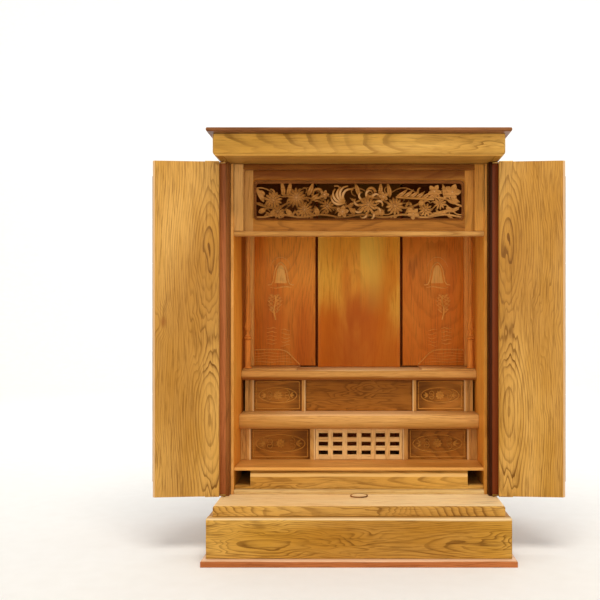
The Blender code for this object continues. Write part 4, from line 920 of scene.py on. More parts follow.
# %% Inside boards
for node, finish, along, across, changes in (
    ("floor_board", "sill_wood", X, Y, {"depth": -30}),
    ("pull_out_board", "slab_edge_wood", X, Z,
     {"knots": 6.0, "depth": 20, "lean": 0.0, "lines": 0.65, "stains": [BOARD_BEVEL_HIGHLIGHT]}),
    ("offering_ledge", "orange_wood", X, Y, {"depth": -30, "stains": [LEDGE_EDGE_HIGHLIGHT]}),
    ("lower_shelf", "light_wood", X, Y, {"depth": -36, "stains": [LOWER_SHELF_FOOT_SHADE, LOWER_SHELF_HIGHLIGHT]}),
    ("upper_shelf", "light_wood", X, Y, {"depth": -36, "stains": [UPPER_SHELF_FOOT_SHADE, UPPER_SHELF_HIGHLIGHT]}),
    ("upper_panel_centre", "shaded_wood", X, Z,
     {"knots": 8.0, "depth": 20, "ring": 2.4, "stains": [UPPER_PANEL_SHADOW]}),
    ("centre_panel", "centre_wood", Z, X,
     {"depth": 60, "stains": [LOW_RED, SAP_STREAK, RED_HEART, CHAMBER_TOP_SHADE]}),
    ("wing_panel_left", "panel_wood", Z, X, {"depth": 60, "patch": 0.9, "stains": [CHAMBER_TOP_SHADE]}),
    ("wing_panel_right", "panel_wood", Z, X, {"depth": 60, "patch": 0.4, "stains": [CHAMBER_TOP_SHADE]}),
    ("transom_moulding", "light_wood", X, Z, {"depth": 44}),
):
    board = dress(node, 0.4)
    board.data.materials.append(cut_for(node, finish, along, across, **INSIDE, **changes))
for side, sign in (("left", -1), ("right", 1)):
    for word, finish in (
        ("lower_divider", "light_wood"), ("lower_post", "light_wood"),
        ("upper_divider", "light_wood"), ("upper_post", "light_wood"),
        ("corner_batten", "batten_wood"),
    ):
        node = f"{word}_{side}"
        low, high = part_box(node)
        # A painted highlight runs down the inner edge of each upright; the battens have none.
        upright_highlight = [inner_edge_highlight(min(low.x, high.x, key=abs), sign)]
        if word == "corner_batten":
            upright_highlight = []
        board = dress(node, 0.3)
        board.data.materials.append(
            cut_for(node, finish, Z, X, ring=2.0, depth=30, lines=0.5, stains=upright_highlight, **INSIDE),
        )
    # Each small panel gets a painted shadow under its shelf and painted shade at its inner end.
    for word, shelf_shadow in (("lower_panel", LOWER_PANEL_SHADOW), ("upper_panel", UPPER_PANEL_SHADOW)):
        node = f"{word}_{side}"
        low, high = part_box(node)
        ends = inner_end_shade(min(low.x, high.x, key=abs), sign)
        board = dress(node, 0.3)
        board.data.materials.append(
            cut_for(node, "shaded_wood", X, Z, ring=2.2, depth=26, stains=[shelf_shadow, ends],
                    **INSIDE),
        )
print("inside boards dressed")

# %% [markdown]
# A lining is a thin board that covers the wall inside. Its front edge has faded, and its
# broad face has kept its orange. The right one's edge is the redder of the two. Both carry a
# painted shadow of the column in front of them, the left one's darker, and the painted shade
# at the chamber's top.

# %% Linings
# The painted shadow that each column casts on the lining behind it.
COLUMN_SHADOW = [(Y, 0.014, 0.032), (Y, 0.088, 0.064)]
for side, faded, column_shadow_share in (("left", "sunlit_wood", 0.75), ("right", "orange_wood", 0.10)):
    node = f"lining_{side}"
    low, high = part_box(node)
    edge_at = low.y + 1 * MM
    two_tone(
        dress(node, 0.3), lambda at: at.y < edge_at,
        cut_for(node, "lining_wood", Z, Y, depth=40,
                stains=[CHAMBER_TOP_SHADE, ("7A2C08", column_shadow_share, COLUMN_SHADOW)], **INSIDE),
        cut_for(node, faded, Z, X, depth=40, lines=0.7, **INSIDE),
    )
print("linings dressed")

# %% [markdown]
# The transom's surround and frame are joined from rails and stiles. In each, the upright
# stiles run through and the rails are let in between them, so the grain turns at every
# joint. A copy of the solid is cut along the joints, and each side gets its own wood. The
# top rails are darkest, because the moulding over them keeps the light off.

# %% Transom surround and frame
RIGHT_STILE = 2                 # its wood is browner than the left one's
for node, joint, depth, darkened in (
    ("transom_surround", 170.2, 24, ("5A240A", 0.80, [(Z, 0.540, 0.562)])),
    ("transom_frame", 157.2, 40, ("6A300C", 0.85, [(Z, 0.530, 0.552)])),
):
    item = dress(node, 0.5, [(X, -joint * MM), (X, joint * MM)])
    two_tone(
        item, lambda at: abs(at.x) > joint * MM,
        cut_for(node, "amber_wood", X, Z, depth=depth, ring=2.2, knots=3.0,
                stains=[darkened], **INSIDE),
        cut_for(node, "light_wood", Z, X, depth=depth, ring=2.0, off=14, lines=0.6, **INSIDE),
    )
    item.data.materials.append(
        cut_for(node, "amber_wood", Z, X, depth=depth, ring=2.0, off=22, lines=0.5, **INSIDE),
    )
    for face in item.data.polygons:
        if face.center.x > joint * MM:
            face.material_index = RIGHT_STILE
print("transom rails and stiles dressed")

# %% [markdown]
# The two slender columns are turned on a lathe, from a foot through a plain lower length
# to a collar, a narrow neck, a pear-shaped swelling and a thin shaft. A lathe profile is
# a list of radii and heights, so the same profile spun in code gives the real shape.

# %% A lathe in code
def spin(bm, centre, profile, sides=48):
    """Turn a closed profile of radii and heights round an upright axis."""
    rings = []
    for radius, z in profile:
        rings.append([
            bm.verts.new((
                centre[0] + radius * math.cos(2 * math.pi * i / sides),
                centre[1] + radius * math.sin(2 * math.pi * i / sides), z,
            ))
            for i in range(sides)
        ])
    bm.faces.new(list(reversed(rings[0])))
    bm.faces.new(rings[-1])
    for low, high in zip(rings, rings[1:]):
        for i in range(sides):
            j = (i + 1) % sides
            bm.faces.new((low[i], low[j], high[j], high[i]))


def bead(profile, radius, low, high, bulge, steps=6):
    """Add a half-round swelling between two heights to a profile."""
    for step in range(1, steps):
        share = step / steps
        swell = math.sin(math.pi * share)
        profile.append((radius + (bulge - radius) * swell, low + (high - low) * share))


def new_piece(name, bm, material=None, angle=35):
    """Turn a filled bmesh into an object, smooth except at sharp corners."""
    bmesh.ops.recalc_face_normals(bm, faces=bm.faces)
    mesh = bpy.data.meshes.new(name)
    bm.to_mesh(mesh)
    bm.free()
    mesh.shade_smooth()
    mesh.set_sharp_from_angle(angle=math.radians(angle))
    item = bpy.data.objects.new(name, mesh)
    bpy.context.scene.collection.objects.link(item)
    if material:
        mesh.materials.append(material)
    return item


print("the lathe turns any profile of radii and heights")

# %% [markdown]
# The column's profile is written from the foot up, in the order that a turner cuts it. The
# swelling uses a sine of a rising share, so it is fullest below its middle, like a pear.

# %% Turned columns
SHAFT = 3.7 * MM
LOWER_SHAFT = 5.0 * MM
LOWER_HEIGHT = 46 * MM
COLLAR_HEIGHT = 6.2 * MM
NECK_HEIGHT = 7.5 * MM
SWELLING_HEIGHT = 17 * MM


def column_profile(foot, head):
    """Radii and heights of a column that stands between two levels."""
    z = foot
    profile = [(0.2 * MM, z), (6.1 * MM, z), (6.3 * MM, z + 0.3 * MM), (6.3 * MM, z + 1.2 * MM)]
    profile += [(LOWER_SHAFT, z + 2.6 * MM)]
    z += LOWER_HEIGHT
    profile.append((LOWER_SHAFT, z - 1.6 * MM))
    profile.append((4.0 * MM, z - 0.8 * MM))
    profile.append((4.6 * MM, z))
    bead(profile, 4.6 * MM, z, z + COLLAR_HEIGHT * 0.62, 6.4 * MM)
    profile.append((3.9 * MM, z + COLLAR_HEIGHT * 0.66))
    bead(profile, 3.6 * MM, z + COLLAR_HEIGHT * 0.68, z + COLLAR_HEIGHT, 5.0 * MM, 4)
    z += COLLAR_HEIGHT
    for step in range(9):
        share = step / 8
        waist = 1 - math.sin(math.pi * share)
        profile.append((2.3 * MM + 1.1 * MM * waist, z + NECK_HEIGHT * share))
    z += NECK_HEIGHT
    for step in range(1, 16):
        share = step / 16
        swell = math.sin(math.pi * share ** 0.75)
        profile.append((SHAFT + 1.5 * MM * swell, z + SWELLING_HEIGHT * share))
    z += SWELLING_HEIGHT
    profile += [(SHAFT, z), (SHAFT * 0.94, head - 4 * MM)]
    bead(profile, SHAFT, head - 3.6 * MM, head - 1.4 * MM, 4.8 * MM, 5)
    profile += [(4.4 * MM, head - 1.2 * MM), (4.4 * MM, head), (0.2 * MM, head)]
    return profile


for side in ("left", "right"):
    node = f"column_{side}"
    low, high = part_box(node)
    profile = column_profile(low.z, high.z)
    bm = bmesh.new()
    spin(bm, ((low.x + high.x) / 2, (low.y + high.y) / 2), profile)
    column = new_piece(f"turned_column_{side}", bm)
    column.data.materials.append(
        cut_for(node, "column_wood", Z, X, ring=1.8, depth=20, lines=0.4, **INSIDE),
    )
    settle(column, node)
print("columns turned, profile points", len(profile))

# %% [markdown]
# The lattice in front of the lower tier is made of small bars. The upright bars run
# through and the level ones are let in between them, so each bar is its own little block
# with softened corners and its own direction of grain.

# %% A small softened block
def soft_block(bm, low, high, radius, slot=0):
    """Add a block with fine rounded edges, wearing one of the object's materials."""
    size = [b - a for a, b in zip(low, high)]
    middle = [(a + b) / 2 for a, b in zip(low, high)]
    matrix = Matrix.Translation(middle) @ Matrix.Diagonal((*size, 1.0))
    made = bmesh.ops.create_cube(bm, size=1.0, matrix=matrix)
    edges = list({edge for vert in made["verts"] for edge in vert.link_edges})
    rounded = bmesh.ops.bevel(bm, geom=edges, offset=radius, segments=2, affect="EDGES")
    for face in {face for vert in rounded["verts"] for face in vert.link_faces}:
        face.material_index = slot


print("a block's edges are rounded in two steps")

# %% [markdown]
# The bars' places follow from the openings: six across and three up, each the same, with
# equal borders. The level bars lie a third of a millimetre back from the uprights, as a
# joiner leaves them so that the joints needn't be flushed.

# %% Lattice
COLUMNS, ROWS = 6, 3
CELL_WIDTH, CELL_HEIGHT = 14.6 * MM, 6.4 * MM
UPRIGHT, LEVEL = 7.6 * MM, 7.2 * MM
BAR_ARRIS = 0.45 * MM
low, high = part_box("lattice")
side_border = ((high.x - low.x) - COLUMNS * CELL_WIDTH - (COLUMNS - 1) * UPRIGHT) / 2
end_border = ((high.z - low.z) - ROWS * CELL_HEIGHT - (ROWS - 1) * LEVEL) / 2
bm = bmesh.new()
uprights = [(low.x, low.x + side_border)]
for column in range(COLUMNS - 1):
    start = uprights[-1][1] + CELL_WIDTH
    uprights.append((start, start + UPRIGHT))
uprights.append((high.x - side_border, high.x))
levels = [(low.z, low.z + end_border)]
for row in range(ROWS - 1):
    start = levels[-1][1] + CELL_HEIGHT
    levels.append((start, start + LEVEL))
levels.append((high.z - end_border, high.z))
for left, right in uprights:
    soft_block(bm, (left, low.y, low.z), (right, high.y, high.z), BAR_ARRIS, 0)
for bottom, top in levels:
    for (_, left), (right, _) in zip(uprights, uprights[1:]):
        soft_block(
            bm, (left - 0.2 * MM, low.y + 0.35 * MM, bottom),
            (right + 0.2 * MM, high.y - 0.2 * MM, top), BAR_ARRIS, 1,
        )
lattice = new_piece("lattice_bars", bm)
lattice.data.materials.append(
    cut_for("lattice", "lattice_wood", Z, X, ring=1.7, depth=30, **INSIDE),
)
lattice.data.materials.append(
    cut_for("lattice", "lattice_wood", X, Z, ring=1.7, depth=26, lines=0.5, **INSIDE),
)
settle(lattice, "lattice")
print("lattice bars", len(uprights), "uprights,", len(levels), "levels")

# %% [markdown]
# The openwork over the chamber is pierced with a fretsaw and then carved: petals are
# domed, leaves get a hollow down the middle, stems stay half round. All of these are one
# form, a strip along a route whose width and height change, so one function carves
# them. Overlapping strips read as petals that lie over each other.

# %% A carved strip
# Places across a strip where its section has points, from edge to edge.
ACROSS = (-1.0, -0.86, -0.5, 0.0, 0.5, 0.86, 1.0)


def carve(bm, back, route, widths, lifts, crown, hollow=0.0):
    """Add one carved strip.

    back is the Y of its flat back. route is its middle line in X and Z, widths its width
    and lifts the height of its edges over the back at each point. crown is how far the
    middle swells over the edges, and hollow is the share of it cut back along the middle.
    """
    widest = max(widths)
    rings = []
    for i, point in enumerate(route):
        before = Vector(route[max(i - 1, 0)])
        after = Vector(route[min(i + 1, len(route) - 1)])
        heading = (after - before).normalized()
        side = Vector((-heading.y, heading.x)) * widths[i] / 2
        rise = crown * widths[i] / widest
        ring = []
        for share in ACROSS:
            dome = math.sqrt(max(0.0, 1 - share * share))
            if share == 0.0:
                dome -= hollow
            x, z = Vector(point) + side * share
            ring.append(bm.verts.new((x, back - lifts[i] - rise * dome, z)))
        for share in (1.0, -1.0):
            x, z = Vector(point) + side * share
            ring.append(bm.verts.new((x, back, z)))
        rings.append(ring)
    count = len(rings[0])
    for ring, following in zip(rings, rings[1:]):
        for i in range(count):
            j = (i + 1) % count
            bm.faces.new((ring[i], ring[j], following[j], following[i]))
    bm.faces.new(list(reversed(rings[0])))
    bm.faces.new(rings[-1])


print("strip section has", len(ACROSS) + 2, "points")

# %% [markdown]
# What makes a strip a petal or a leaf is how its width changes along its route. A petal is
# widest past its middle and round at its tip, a leaf is widest before its middle and
# pointed. Both widths are half a sine wave over a bent share of the length.

# %% Routes and widths
def ray(start, angle, length, steps=7, bend=0.0):
    """Points along a line from a start, bending steadily to one side."""
    points = [Vector(start)]
    for step in range(steps - 1):
        turned = angle + bend * (step + 0.5) / (steps - 1)
        points.append(points[-1] + Vector((math.cos(turned), math.sin(turned)))
                      * length / (steps - 1))
    return [tuple(point) for point in points]


def petal_widths(width, steps=7, blunt=0.62):
    """Widths of a petal: narrow at its root, widest past the middle, round at its tip."""
    return [
        width * max(0.16, math.sin(math.pi * (0.06 + 0.90 * (step / (steps - 1)) ** (1 / blunt))))
        for step in range(steps)
    ]


def leaf_widths(width, steps=7):
    """Widths of a leaf: pointed at both ends, widest before the middle."""
    return [
        width * max(0.10, math.sin(math.pi * (0.08 + 0.90 * (step / (steps - 1)) ** 0.8)))
        for step in range(steps)
    ]


print("a petal's widths", [round(width, 2) for width in petal_widths(1.0)])

# %% [markdown]
# A carver builds every flower from the same few cuts. A full flower has two rings of
# hollowed petals, which dip from a high root to a low tip, and a domed heart. A blossom has
# five broad petals. Petals that cross a little look better than ones that only touch.

# %% Petals and hearts
def petal_ring(bm, back, centre, inner, outer, count, width, lift, crown, turn=0.0, bend=0.0):
    """Set petals round a centre; they dip from a high root to a low tip."""
    for i in range(count):
        angle = turn + 2 * math.pi * i / count
        root = (centre[0] + inner * math.cos(angle), centre[1] + inner * math.sin(angle))
        steps = 7
        lifts = [lift * (1.0 - 0.45 * step / (steps - 1)) for step in range(steps)]
        carve(bm, back, ray(root, angle, outer - inner, steps, bend), petal_widths(width, steps),
              lifts, crown, 0.35)


def button(bm, back, centre, radius, height, sides=14):
    """Add a small dome for a flower's heart."""
    rings = []
    for share in (0.0, 0.45, 0.75, 0.93, 1.0):
        reach = radius * math.cos(share * math.pi / 2) if share < 1.0 else radius * 0.03
        rise = height * (0.45 + 0.55 * math.sin(share * math.pi / 2))
        rings.append([
            bm.verts.new((
                centre[0] + reach * math.cos(2 * math.pi * i / sides), back - rise,
                centre[1] + reach * math.sin(2 * math.pi * i / sides),
            ))
            for i in range(sides)
        ])
    foot = [bm.verts.new((vert.co.x, back, vert.co.z)) for vert in rings[0]]
    for low, high in zip([foot] + rings, rings):
        for i in range(sides):
            j = (i + 1) % sides
            bm.faces.new((low[i], low[j], high[j], high[i]))
    bm.faces.new(list(reversed(foot)))
    bm.faces.new(rings[-1])


def full_flower(bm, back, centre, radius, petals, depth, turn=0.0):
    """A full flower: two rings of petals over each other and a domed heart."""
    petal_ring(bm, back, centre, radius * 0.20, radius, petals, radius * 0.31,
               depth * 0.56, depth * 0.20, turn)
    petal_ring(bm, back, centre, radius * 0.10, radius * 0.66, petals - 3, radius * 0.25,
               depth * 0.74, depth * 0.20, turn + 0.22)
    button(bm, back, centre, radius * 0.17, depth * 0.84)


def blossom(bm, back, centre, radius, depth, turn=0.0):
    """A five-petal flower with broad, hollowed petals and a small heart."""
    for i in range(5):
        angle = turn + 2 * math.pi * i / 5
        root = (centre[0] + 0.10 * radius * math.cos(angle),
                centre[1] + 0.10 * radius * math.sin(angle))
        carve(bm, back, ray(root, angle, radius * 0.9), petal_widths(radius * 0.72, 7, 0.9),
              [depth * 0.62 + depth * 0.18 * abs(step - 3) / 3 for step in range(7)],
              depth * 0.18, 0.8)
    button(bm, back, centre, radius * 0.20, depth * 1.02)


print("a full flower has two rings of petals, a blossom has five petals")

# %% [markdown]
# Leaves, rolled petals and fern blades are strips on bent routes. A leaf is hollowed along
# its rib, a rolled petal turns back on itself and narrows, and a fern is a straight rib
# with blades that all lean one way.

# %% Leaves, rolled petals and ferns
def leaf(bm, back, root, length, width, angle, depth, bend=0.35):
    """A leaf with a hollow along its rib."""
    lifts = [depth * (0.38 + 0.22 * math.sin(math.pi * step / 8)) for step in range(9)]
    carve(bm, back, ray(root, angle - bend / 2, length, 9, bend), leaf_widths(width, 9),
          lifts, depth * 0.18, 0.9)


def curl(bm, back, centre, radius, start, sweep, width, depth):
    """A petal that rolls back on itself, narrowing to its tip."""
    steps = 13
    route = []
    for step in range(steps):
        share = step / (steps - 1)
        angle = start + sweep * share
        reach = radius * (1 - 0.18 * share)
        route.append((centre[0] + reach * math.cos(angle), centre[1] + reach * math.sin(angle)))
    widths = [width * (1 - 0.55 * step / (steps - 1)) for step in range(steps)]
    lifts = [
        depth * (0.45 + 0.30 * math.sin(math.pi * step / (steps - 1))) for step in range(steps)
    ]
    carve(bm, back, route, widths, lifts, depth * 0.20, 0.25)


def fern(bm, back, start, end, blades, length, width, angle, depth):
    """A rib with blades that all lean one way."""
    first, last = Vector(start), Vector(end)
    rib = [tuple(first.lerp(last, step / 8)) for step in range(9)]
    carve(bm, back, rib, [width * 0.8] * 9, [depth * 0.5] * 9, depth * 0.2)
    for i in range(blades):
        share = i / blades
        leaf(bm, back, first.lerp(last, share), length * (1 - 0.35 * share), width * 1.25,
             angle, depth * 1.1, 0.5)


print("leaves, rolled petals and ferns are ready to carve")

# %% [markdown]
# The openwork panel is one board with a window cut in it, and the flowers fill the window.
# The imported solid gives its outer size, and the carver's marks are shares of the window, so
# the whole design follows if the panel changes. First comes the border with its round
# corners, whose inner edge is eased.

# %% The openwork's border
low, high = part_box("transom_carving")
WINDOW_SIDE = 9.6 * MM          # border of the carving outside its pierced window
carving_back = high.y
CARVING_DEPTH = 6.2 * MM
half_width = (high.x - low.x) / 2 - WINDOW_SIDE
half_height = (high.z - low.z) / 2 - WINDOW_SIDE
middle_z = (low.z + high.z) / 2


def at(share_x, share_z):
    """A place in the carving, as shares of its half width and half height."""
    return (half_width * share_x, middle_z + half_height * share_z)


def window_loop(half_x, half_z, radius, y, steps=6):
    """Points of an upright rectangle with round corners."""
    points = []
    for x, z, start in (
        (half_x - radius, half_z - radius, 0), (radius - half_x, half_z - radius, 90),
        (radius - half_x, radius - half_z, 180), (half_x - radius, radius - half_z, 270),
    ):
        for step in range(steps + 1):
            angle = math.radians(start + 90 * step / steps)
            points.append(
                (x + radius * math.cos(angle), y, middle_z + z + radius * math.sin(angle)),
            )
    return points


bm = bmesh.new()
outer_x, outer_z = (high.x - low.x) / 2, (high.z - low.z) / 2
rim_face = low.y + 0.4 * MM
CORNER = 4 * MM
loops = [
    window_loop(outer_x, outer_z, 0.3 * MM, carving_back),
    window_loop(outer_x, outer_z, 0.3 * MM, rim_face),
    window_loop(half_width + 0.9 * MM, half_height + 0.9 * MM, CORNER, rim_face),
    window_loop(half_width, half_height, CORNER, rim_face + 0.9 * MM),
    window_loop(half_width, half_height, CORNER, carving_back),
]
rings = [[bm.verts.new(point) for point in loop] for loop in loops]
for ring, following in zip(rings, rings[1:] + rings[:1]):
    for i in range(len(ring)):
        j = (i + 1) % len(ring)
        bm.faces.new((ring[i], ring[j], following[j], following[i])).material_index = 1
print("window", round(2 * half_width / MM, 1), "by", round(2 * half_height / MM, 1), "mm")

# %% [markdown]
# Two stems wind along the panel and carry small leaves on both sides. Thin runners and
# tendrils fill the ground between the flowers, lower than they are, as a carver leaves a
# net of wood that holds the pattern together.

# %% Stems and tendrils
def winding(share_z, swing, turns, phase, steps, reach):
    """A route that waves along the window about one level."""
    route = []
    for step in range(steps):
        share = reach * (2 * step / (steps - 1) - 1)
        route.append(at(share, share_z + swing * math.sin(math.pi * turns * share + phase)))
    return route


unit = half_height
STEM_STEPS, RUNNER_STEPS = 61, 81
SMALL_LEAVES = 27
for share_z, swing, turns, phase in ((-0.1, 0.3, 3.1, 0.4), (-0.86, 0.08, 5.0, 1.0)):
    route = winding(share_z, swing, turns, phase, STEM_STEPS, 1.03)
    carve(bm, carving_back, route, [0.12 * unit] * STEM_STEPS,
          [CARVING_DEPTH * 0.34] * STEM_STEPS, CARVING_DEPTH * 0.16)
    for i in range(SMALL_LEAVES):
        root = route[2 * i + 3]
        angle = (0.9, 2.3, -0.8, -2.4)[i % 4] + 0.25 * math.sin(2.0 * i)
        leaf(bm, carving_back, root, (0.34 + 0.10 * (i % 3)) * unit, 0.13 * unit, angle,
             CARVING_DEPTH * 0.75)
for share_z, swing, turns, phase in ((0.50, 0.26, 4.3, 2.0), (-0.45, 0.34, 5.6, 0.0)):
    route = winding(share_z, swing, turns, phase, RUNNER_STEPS, 1.02)
    carve(bm, carving_back, route, [0.075 * unit] * RUNNER_STEPS,
          [CARVING_DEPTH * 0.30] * RUNNER_STEPS, CARVING_DEPTH * 0.14)
TENDRILS = 30
for i in range(TENDRILS):
    share = -0.95 + 1.90 * (i + 0.5) / TENDRILS
    curl(bm, carving_back, at(share, 0.64 * math.sin(2.4 * i)), (0.19 + 0.04 * (i % 3)) * unit,
         1.9 * i, (3.2, -3.2)[i % 2], 0.10 * unit, CARVING_DEPTH * 0.62)
print("small leaves", 2 * SMALL_LEAVES, "and tendrils", TENDRILS)

# %% [markdown]
# The large leaves and the flowers are set where they balance the panel: places are shares
# of the window, sizes are shares of half its height, and angles are radians.

# %% Large leaves and flowers
for x, z, length, width, angle in (
    (-0.93, -0.05, 1.00, 0.30, 2.1), (-0.98, -0.65, 0.55, 0.30, 0.5),
    (-0.735, 0.30, 0.90, 0.26, 1.75), (-0.70, 0.30, 0.90, 0.26, 1.35),
    (-0.50, 0.30, 0.85, 0.28, 1.2), (-0.47, 0.05, 0.62, 0.26, 0.7),
    (-0.24, 0.10, 0.85, 0.26, 1.1), (-0.40, -0.84, 0.60, 0.30, 1.9),
    (-0.66, -0.85, 0.55, 0.30, 2.3), (0.00, 0.30, 0.80, 0.26, 1.9),
    (0.20, 0.30, 0.80, 0.26, 1.5), (0.30, 0.20, 0.90, 0.26, 1.75),
    (0.46, -0.62, 0.50, 0.28, 0.6), (0.85, -0.35, 0.60, 0.26, -0.5),
    (0.84, 0.10, 0.95, 0.24, 1.75), (0.90, 0.15, 0.55, 0.28, -0.4),
    (0.60, -0.30, 0.45, 0.30, 1.5), (-0.04, -0.72, 0.50, 0.28, 2.4),
    (-0.92, 0.35, 0.45, 0.26, 2.6), (-0.86, -0.90, 0.50, 0.28, 1.2),
    (0.14, -0.78, 0.55, 0.28, 0.5), (0.24, -0.80, 0.50, 0.26, 2.2),
):
    leaf(bm, carving_back, at(x, z), length * unit, width * unit, angle, CARVING_DEPTH)
for x, z, radius, petals in (
    (-0.835, 0.06, 0.52, 13), (-0.61, 0.20, 0.58, 14), (-0.79, -0.62, 0.40, 11),
    (-0.53, -0.50, 0.50, 13), (-0.31, -0.30, 0.42, 11), (0.35, -0.29, 0.52, 13),
    (0.65, -0.52, 0.42, 11), (0.79, -0.12, 0.38, 11),
):
    full_flower(bm, carving_back, at(x, z), radius * unit, petals, CARVING_DEPTH, x)
for x, z, radius in (
    (0.91, 0.50, 0.48), (0.735, 0.55, 0.40), (0.53, -0.73, 0.36), (-0.335, 0.36, 0.26),
    (-0.16, -0.62, 0.36), (0.24, 0.25, 0.28),
):
    blossom(bm, carving_back, at(x, z), radius * unit, CARVING_DEPTH * 0.92, math.pi / 2 + x)
print("openwork points after the flowers", len(bm.verts))

# %% [markdown]
# In the middle one flower opens wide, ringed by rolled petals. A spray of long curls stands
# on its left, two pairs of tendrils close on themselves over it, and two ferns fill the
# right side.

# %% Rolled petals, spray and ferns
heart = at(0.09, -0.23)
full_flower(bm, carving_back, heart, 0.50 * unit, 12, CARVING_DEPTH * 1.05)
for i in range(9):
    angle = 2 * math.pi * i / 9
    side = (heart[0] + 0.62 * unit * math.cos(angle), heart[1] + 0.62 * unit * math.sin(angle))
    curl(bm, carving_back, side, 0.24 * unit, angle + 2.6, -3.0, 0.16 * unit, CARVING_DEPTH)
spray = at(-0.14, -0.05)
for i, angle in enumerate((0.75, 1.15, 1.6, 2.0, 2.45)):
    half_reach = (0.95 + 0.08 * (i % 2)) * unit / 2
    centre = (spray[0] + half_reach * math.cos(angle), spray[1] + half_reach * math.sin(angle))
    curl(bm, carving_back, centre, half_reach, angle + math.pi, -2.7, 0.18 * unit, CARVING_DEPTH)
for x, z, radius in ((0.115, 0.50, 0.264), (-0.405, 0.42, 0.288)):
    for start in (0.0, math.pi):
        curl(bm, carving_back, at(x, z), radius * unit, start, 3.6, 0.18 * unit,
             CARVING_DEPTH * 0.8)
fern(bm, carving_back, at(0.36, 0.216), at(0.731, 0.096), 6, 0.86 * unit, 0.17 * unit, 0.62,
     CARVING_DEPTH)
fern(bm, carving_back, at(0.69, -0.845), at(0.97, -0.445), 5, 0.62 * unit, 0.16 * unit, 0.45,
     CARVING_DEPTH)
carving = new_piece("transom_openwork", bm, angle=50)
print("openwork points", len(carving.data.vertices))

# %% [markdown]
# The hollows are painted dark, as painted shade, and the high places carry a painted
# highlight. Both follow the depth, so the eye reads a carving even in flat light. The
# border is browner than the flowers.

# %% The openwork's wood
carving_top = carving_back - CARVING_DEPTH
# Painted shade in the hollows and painted highlights on the high places.
HOLLOW_SHADE = ("3C1A08", 0.90, [(Y, carving_back - 0.62 * CARVING_DEPTH, carving_back)])
HIGH_PLACE_HIGHLIGHT = ("F6C68A", 0.55, [(Y, carving_back - 0.72 * CARVING_DEPTH, carving_top)])
carving.data.materials.append(
    cut_for("transom_carving", "carved_wood", X, Z, ring=2.0, depth=20,
            stains=[HOLLOW_SHADE, HIGH_PLACE_HIGHLIGHT], **INSIDE),
)
carving.data.materials.append(
    cut_for("transom_carving", "umber_wood", X, Z, ring=2.0, depth=20, **INSIDE),
)
settle(carving, "transom_carving")
triangles = sum(len(face.vertices) - 2 for face in carving.data.polygons)
print("openwork triangles", triangles)

# %% [markdown]
# The wing panels and the little panels under the shelves carry low relief, about a
# millimetre high, of the kind that is traditional on such cabinets: a bell over a bank of
# mist, an upright pine, the steps of a garden and a terrace of earth in layers. The
# panels keep their flat faces, and the relief is a thin piece laid on each. Real carving
# is cut into the board, but a laid piece looks the same from outside and is easier to draw.

# %% Lines in low relief
RELIEF = 1.4 * MM


def mirrored(sign, points):
    """Flip a route for the panel on the other side."""
    return [(sign * x, z) for x, z in points]


def arc(centre, radius_x, radius_z, start, sweep, steps=17):
    """Points along part of an ellipse, angles in degrees."""
    return [
        (centre[0] + radius_x * math.cos(math.radians(start + sweep * step / (steps - 1))),
         centre[1] + radius_z * math.sin(math.radians(start + sweep * step / (steps - 1))))
        for step in range(steps)
    ]


def line(bm, back, route, width, height=RELIEF, pointed=True):
    """Lay one raised line of the relief."""
    count = len(route)
    widths = [width] * count
    if pointed:
        widths = [
            width * (0.25 + 0.75 * math.sin(math.pi * (i + 0.5) / count)) for i in range(count)
        ]
    carve(bm, back, route, widths, [height * 0.35] * count, height * 0.65)


print("relief", round(RELIEF / MM, 1), "mm high")

# %% [markdown]
# The bell hangs over a bank of mist, and the pine stands under it. A panel's drawing is
# written once, in millimetres in from its outer edge and up from its foot, and flipped for
# the panel on the other side.

# %% Bell and pine
def spot(panel, across, up):
    """A place on a panel: millimetres in from its outer edge and up from its foot."""
    return (panel["outer"] - across * MM, panel["foot"] + up * MM)


def laid(bm, panel, route, *measures):
    """Lay a line on the panel, flipped if the panel is the left one."""
    line(bm, panel["face"], mirrored(panel["sign"], route), *measures)


def bell_over_mist(bm, panel):
    """A swelling bell with a flared outline, a mist line and an arc over it."""
    bell = [spot(panel, 52, up) for up in (139, 145, 151, 157, 162, 166, 169)]
    carve(bm, panel["face"], mirrored(panel["sign"], bell),
          [width * MM for width in (21, 18, 16, 14, 12, 9, 5)], [RELIEF * 0.3] * 7, RELIEF * 0.5)
    flare = [spot(panel, *place) for place in (
        (30, 136), (36, 137), (39, 142), (40.5, 151), (42, 160), (45, 168), (49, 173), (52, 174),
        (55, 173), (59, 168), (62, 160), (63.5, 151), (65, 142), (68, 137), (74, 136),
    )]
    laid(bm, panel, flare, 1.9 * MM, RELIEF, False)
    mist = [spot(panel, 34 + 2.8 * i, 132 - 1.2 * math.sin(i * 0.5)) for i in range(14)]
    laid(bm, panel, mist, 1.9 * MM)
    laid(bm, panel, arc(spot(panel, 52, 157), 19 * MM, 26 * MM, 160, -140), 1.0 * MM)


def upright_pine(bm, panel):
    """A trunk with five pairs of twigs, and a fan of needles at two places on each."""
    trunk = [spot(panel, 42 + 1.6 * math.sin(i * 0.62), 119 - 3.5 * i) for i in range(13)]
    laid(bm, panel, trunk, 2.6 * MM, RELIEF * 1.3, False)
    for i, reach in enumerate((7, 10, 12, 11, 8)):
        root = spot(panel, 42, 113 - 6.2 * i)
        for lean in (0.35, math.pi - 0.35):
            twig = ray(root, lean, reach * MM, 7, 0.5 if lean < 1 else -0.5)
            laid(bm, panel, twig, 1.4 * MM)
            for k in (3, 6):
                for fan in (-0.8, -0.27, 0.27, 0.8):
                    needle = ray(twig[k], math.pi / 2 + fan, 4.4 * MM, 5)
                    laid(bm, panel, needle, 0.9 * MM, RELIEF * 0.8)


print("bell and pine are drawn once and flipped")

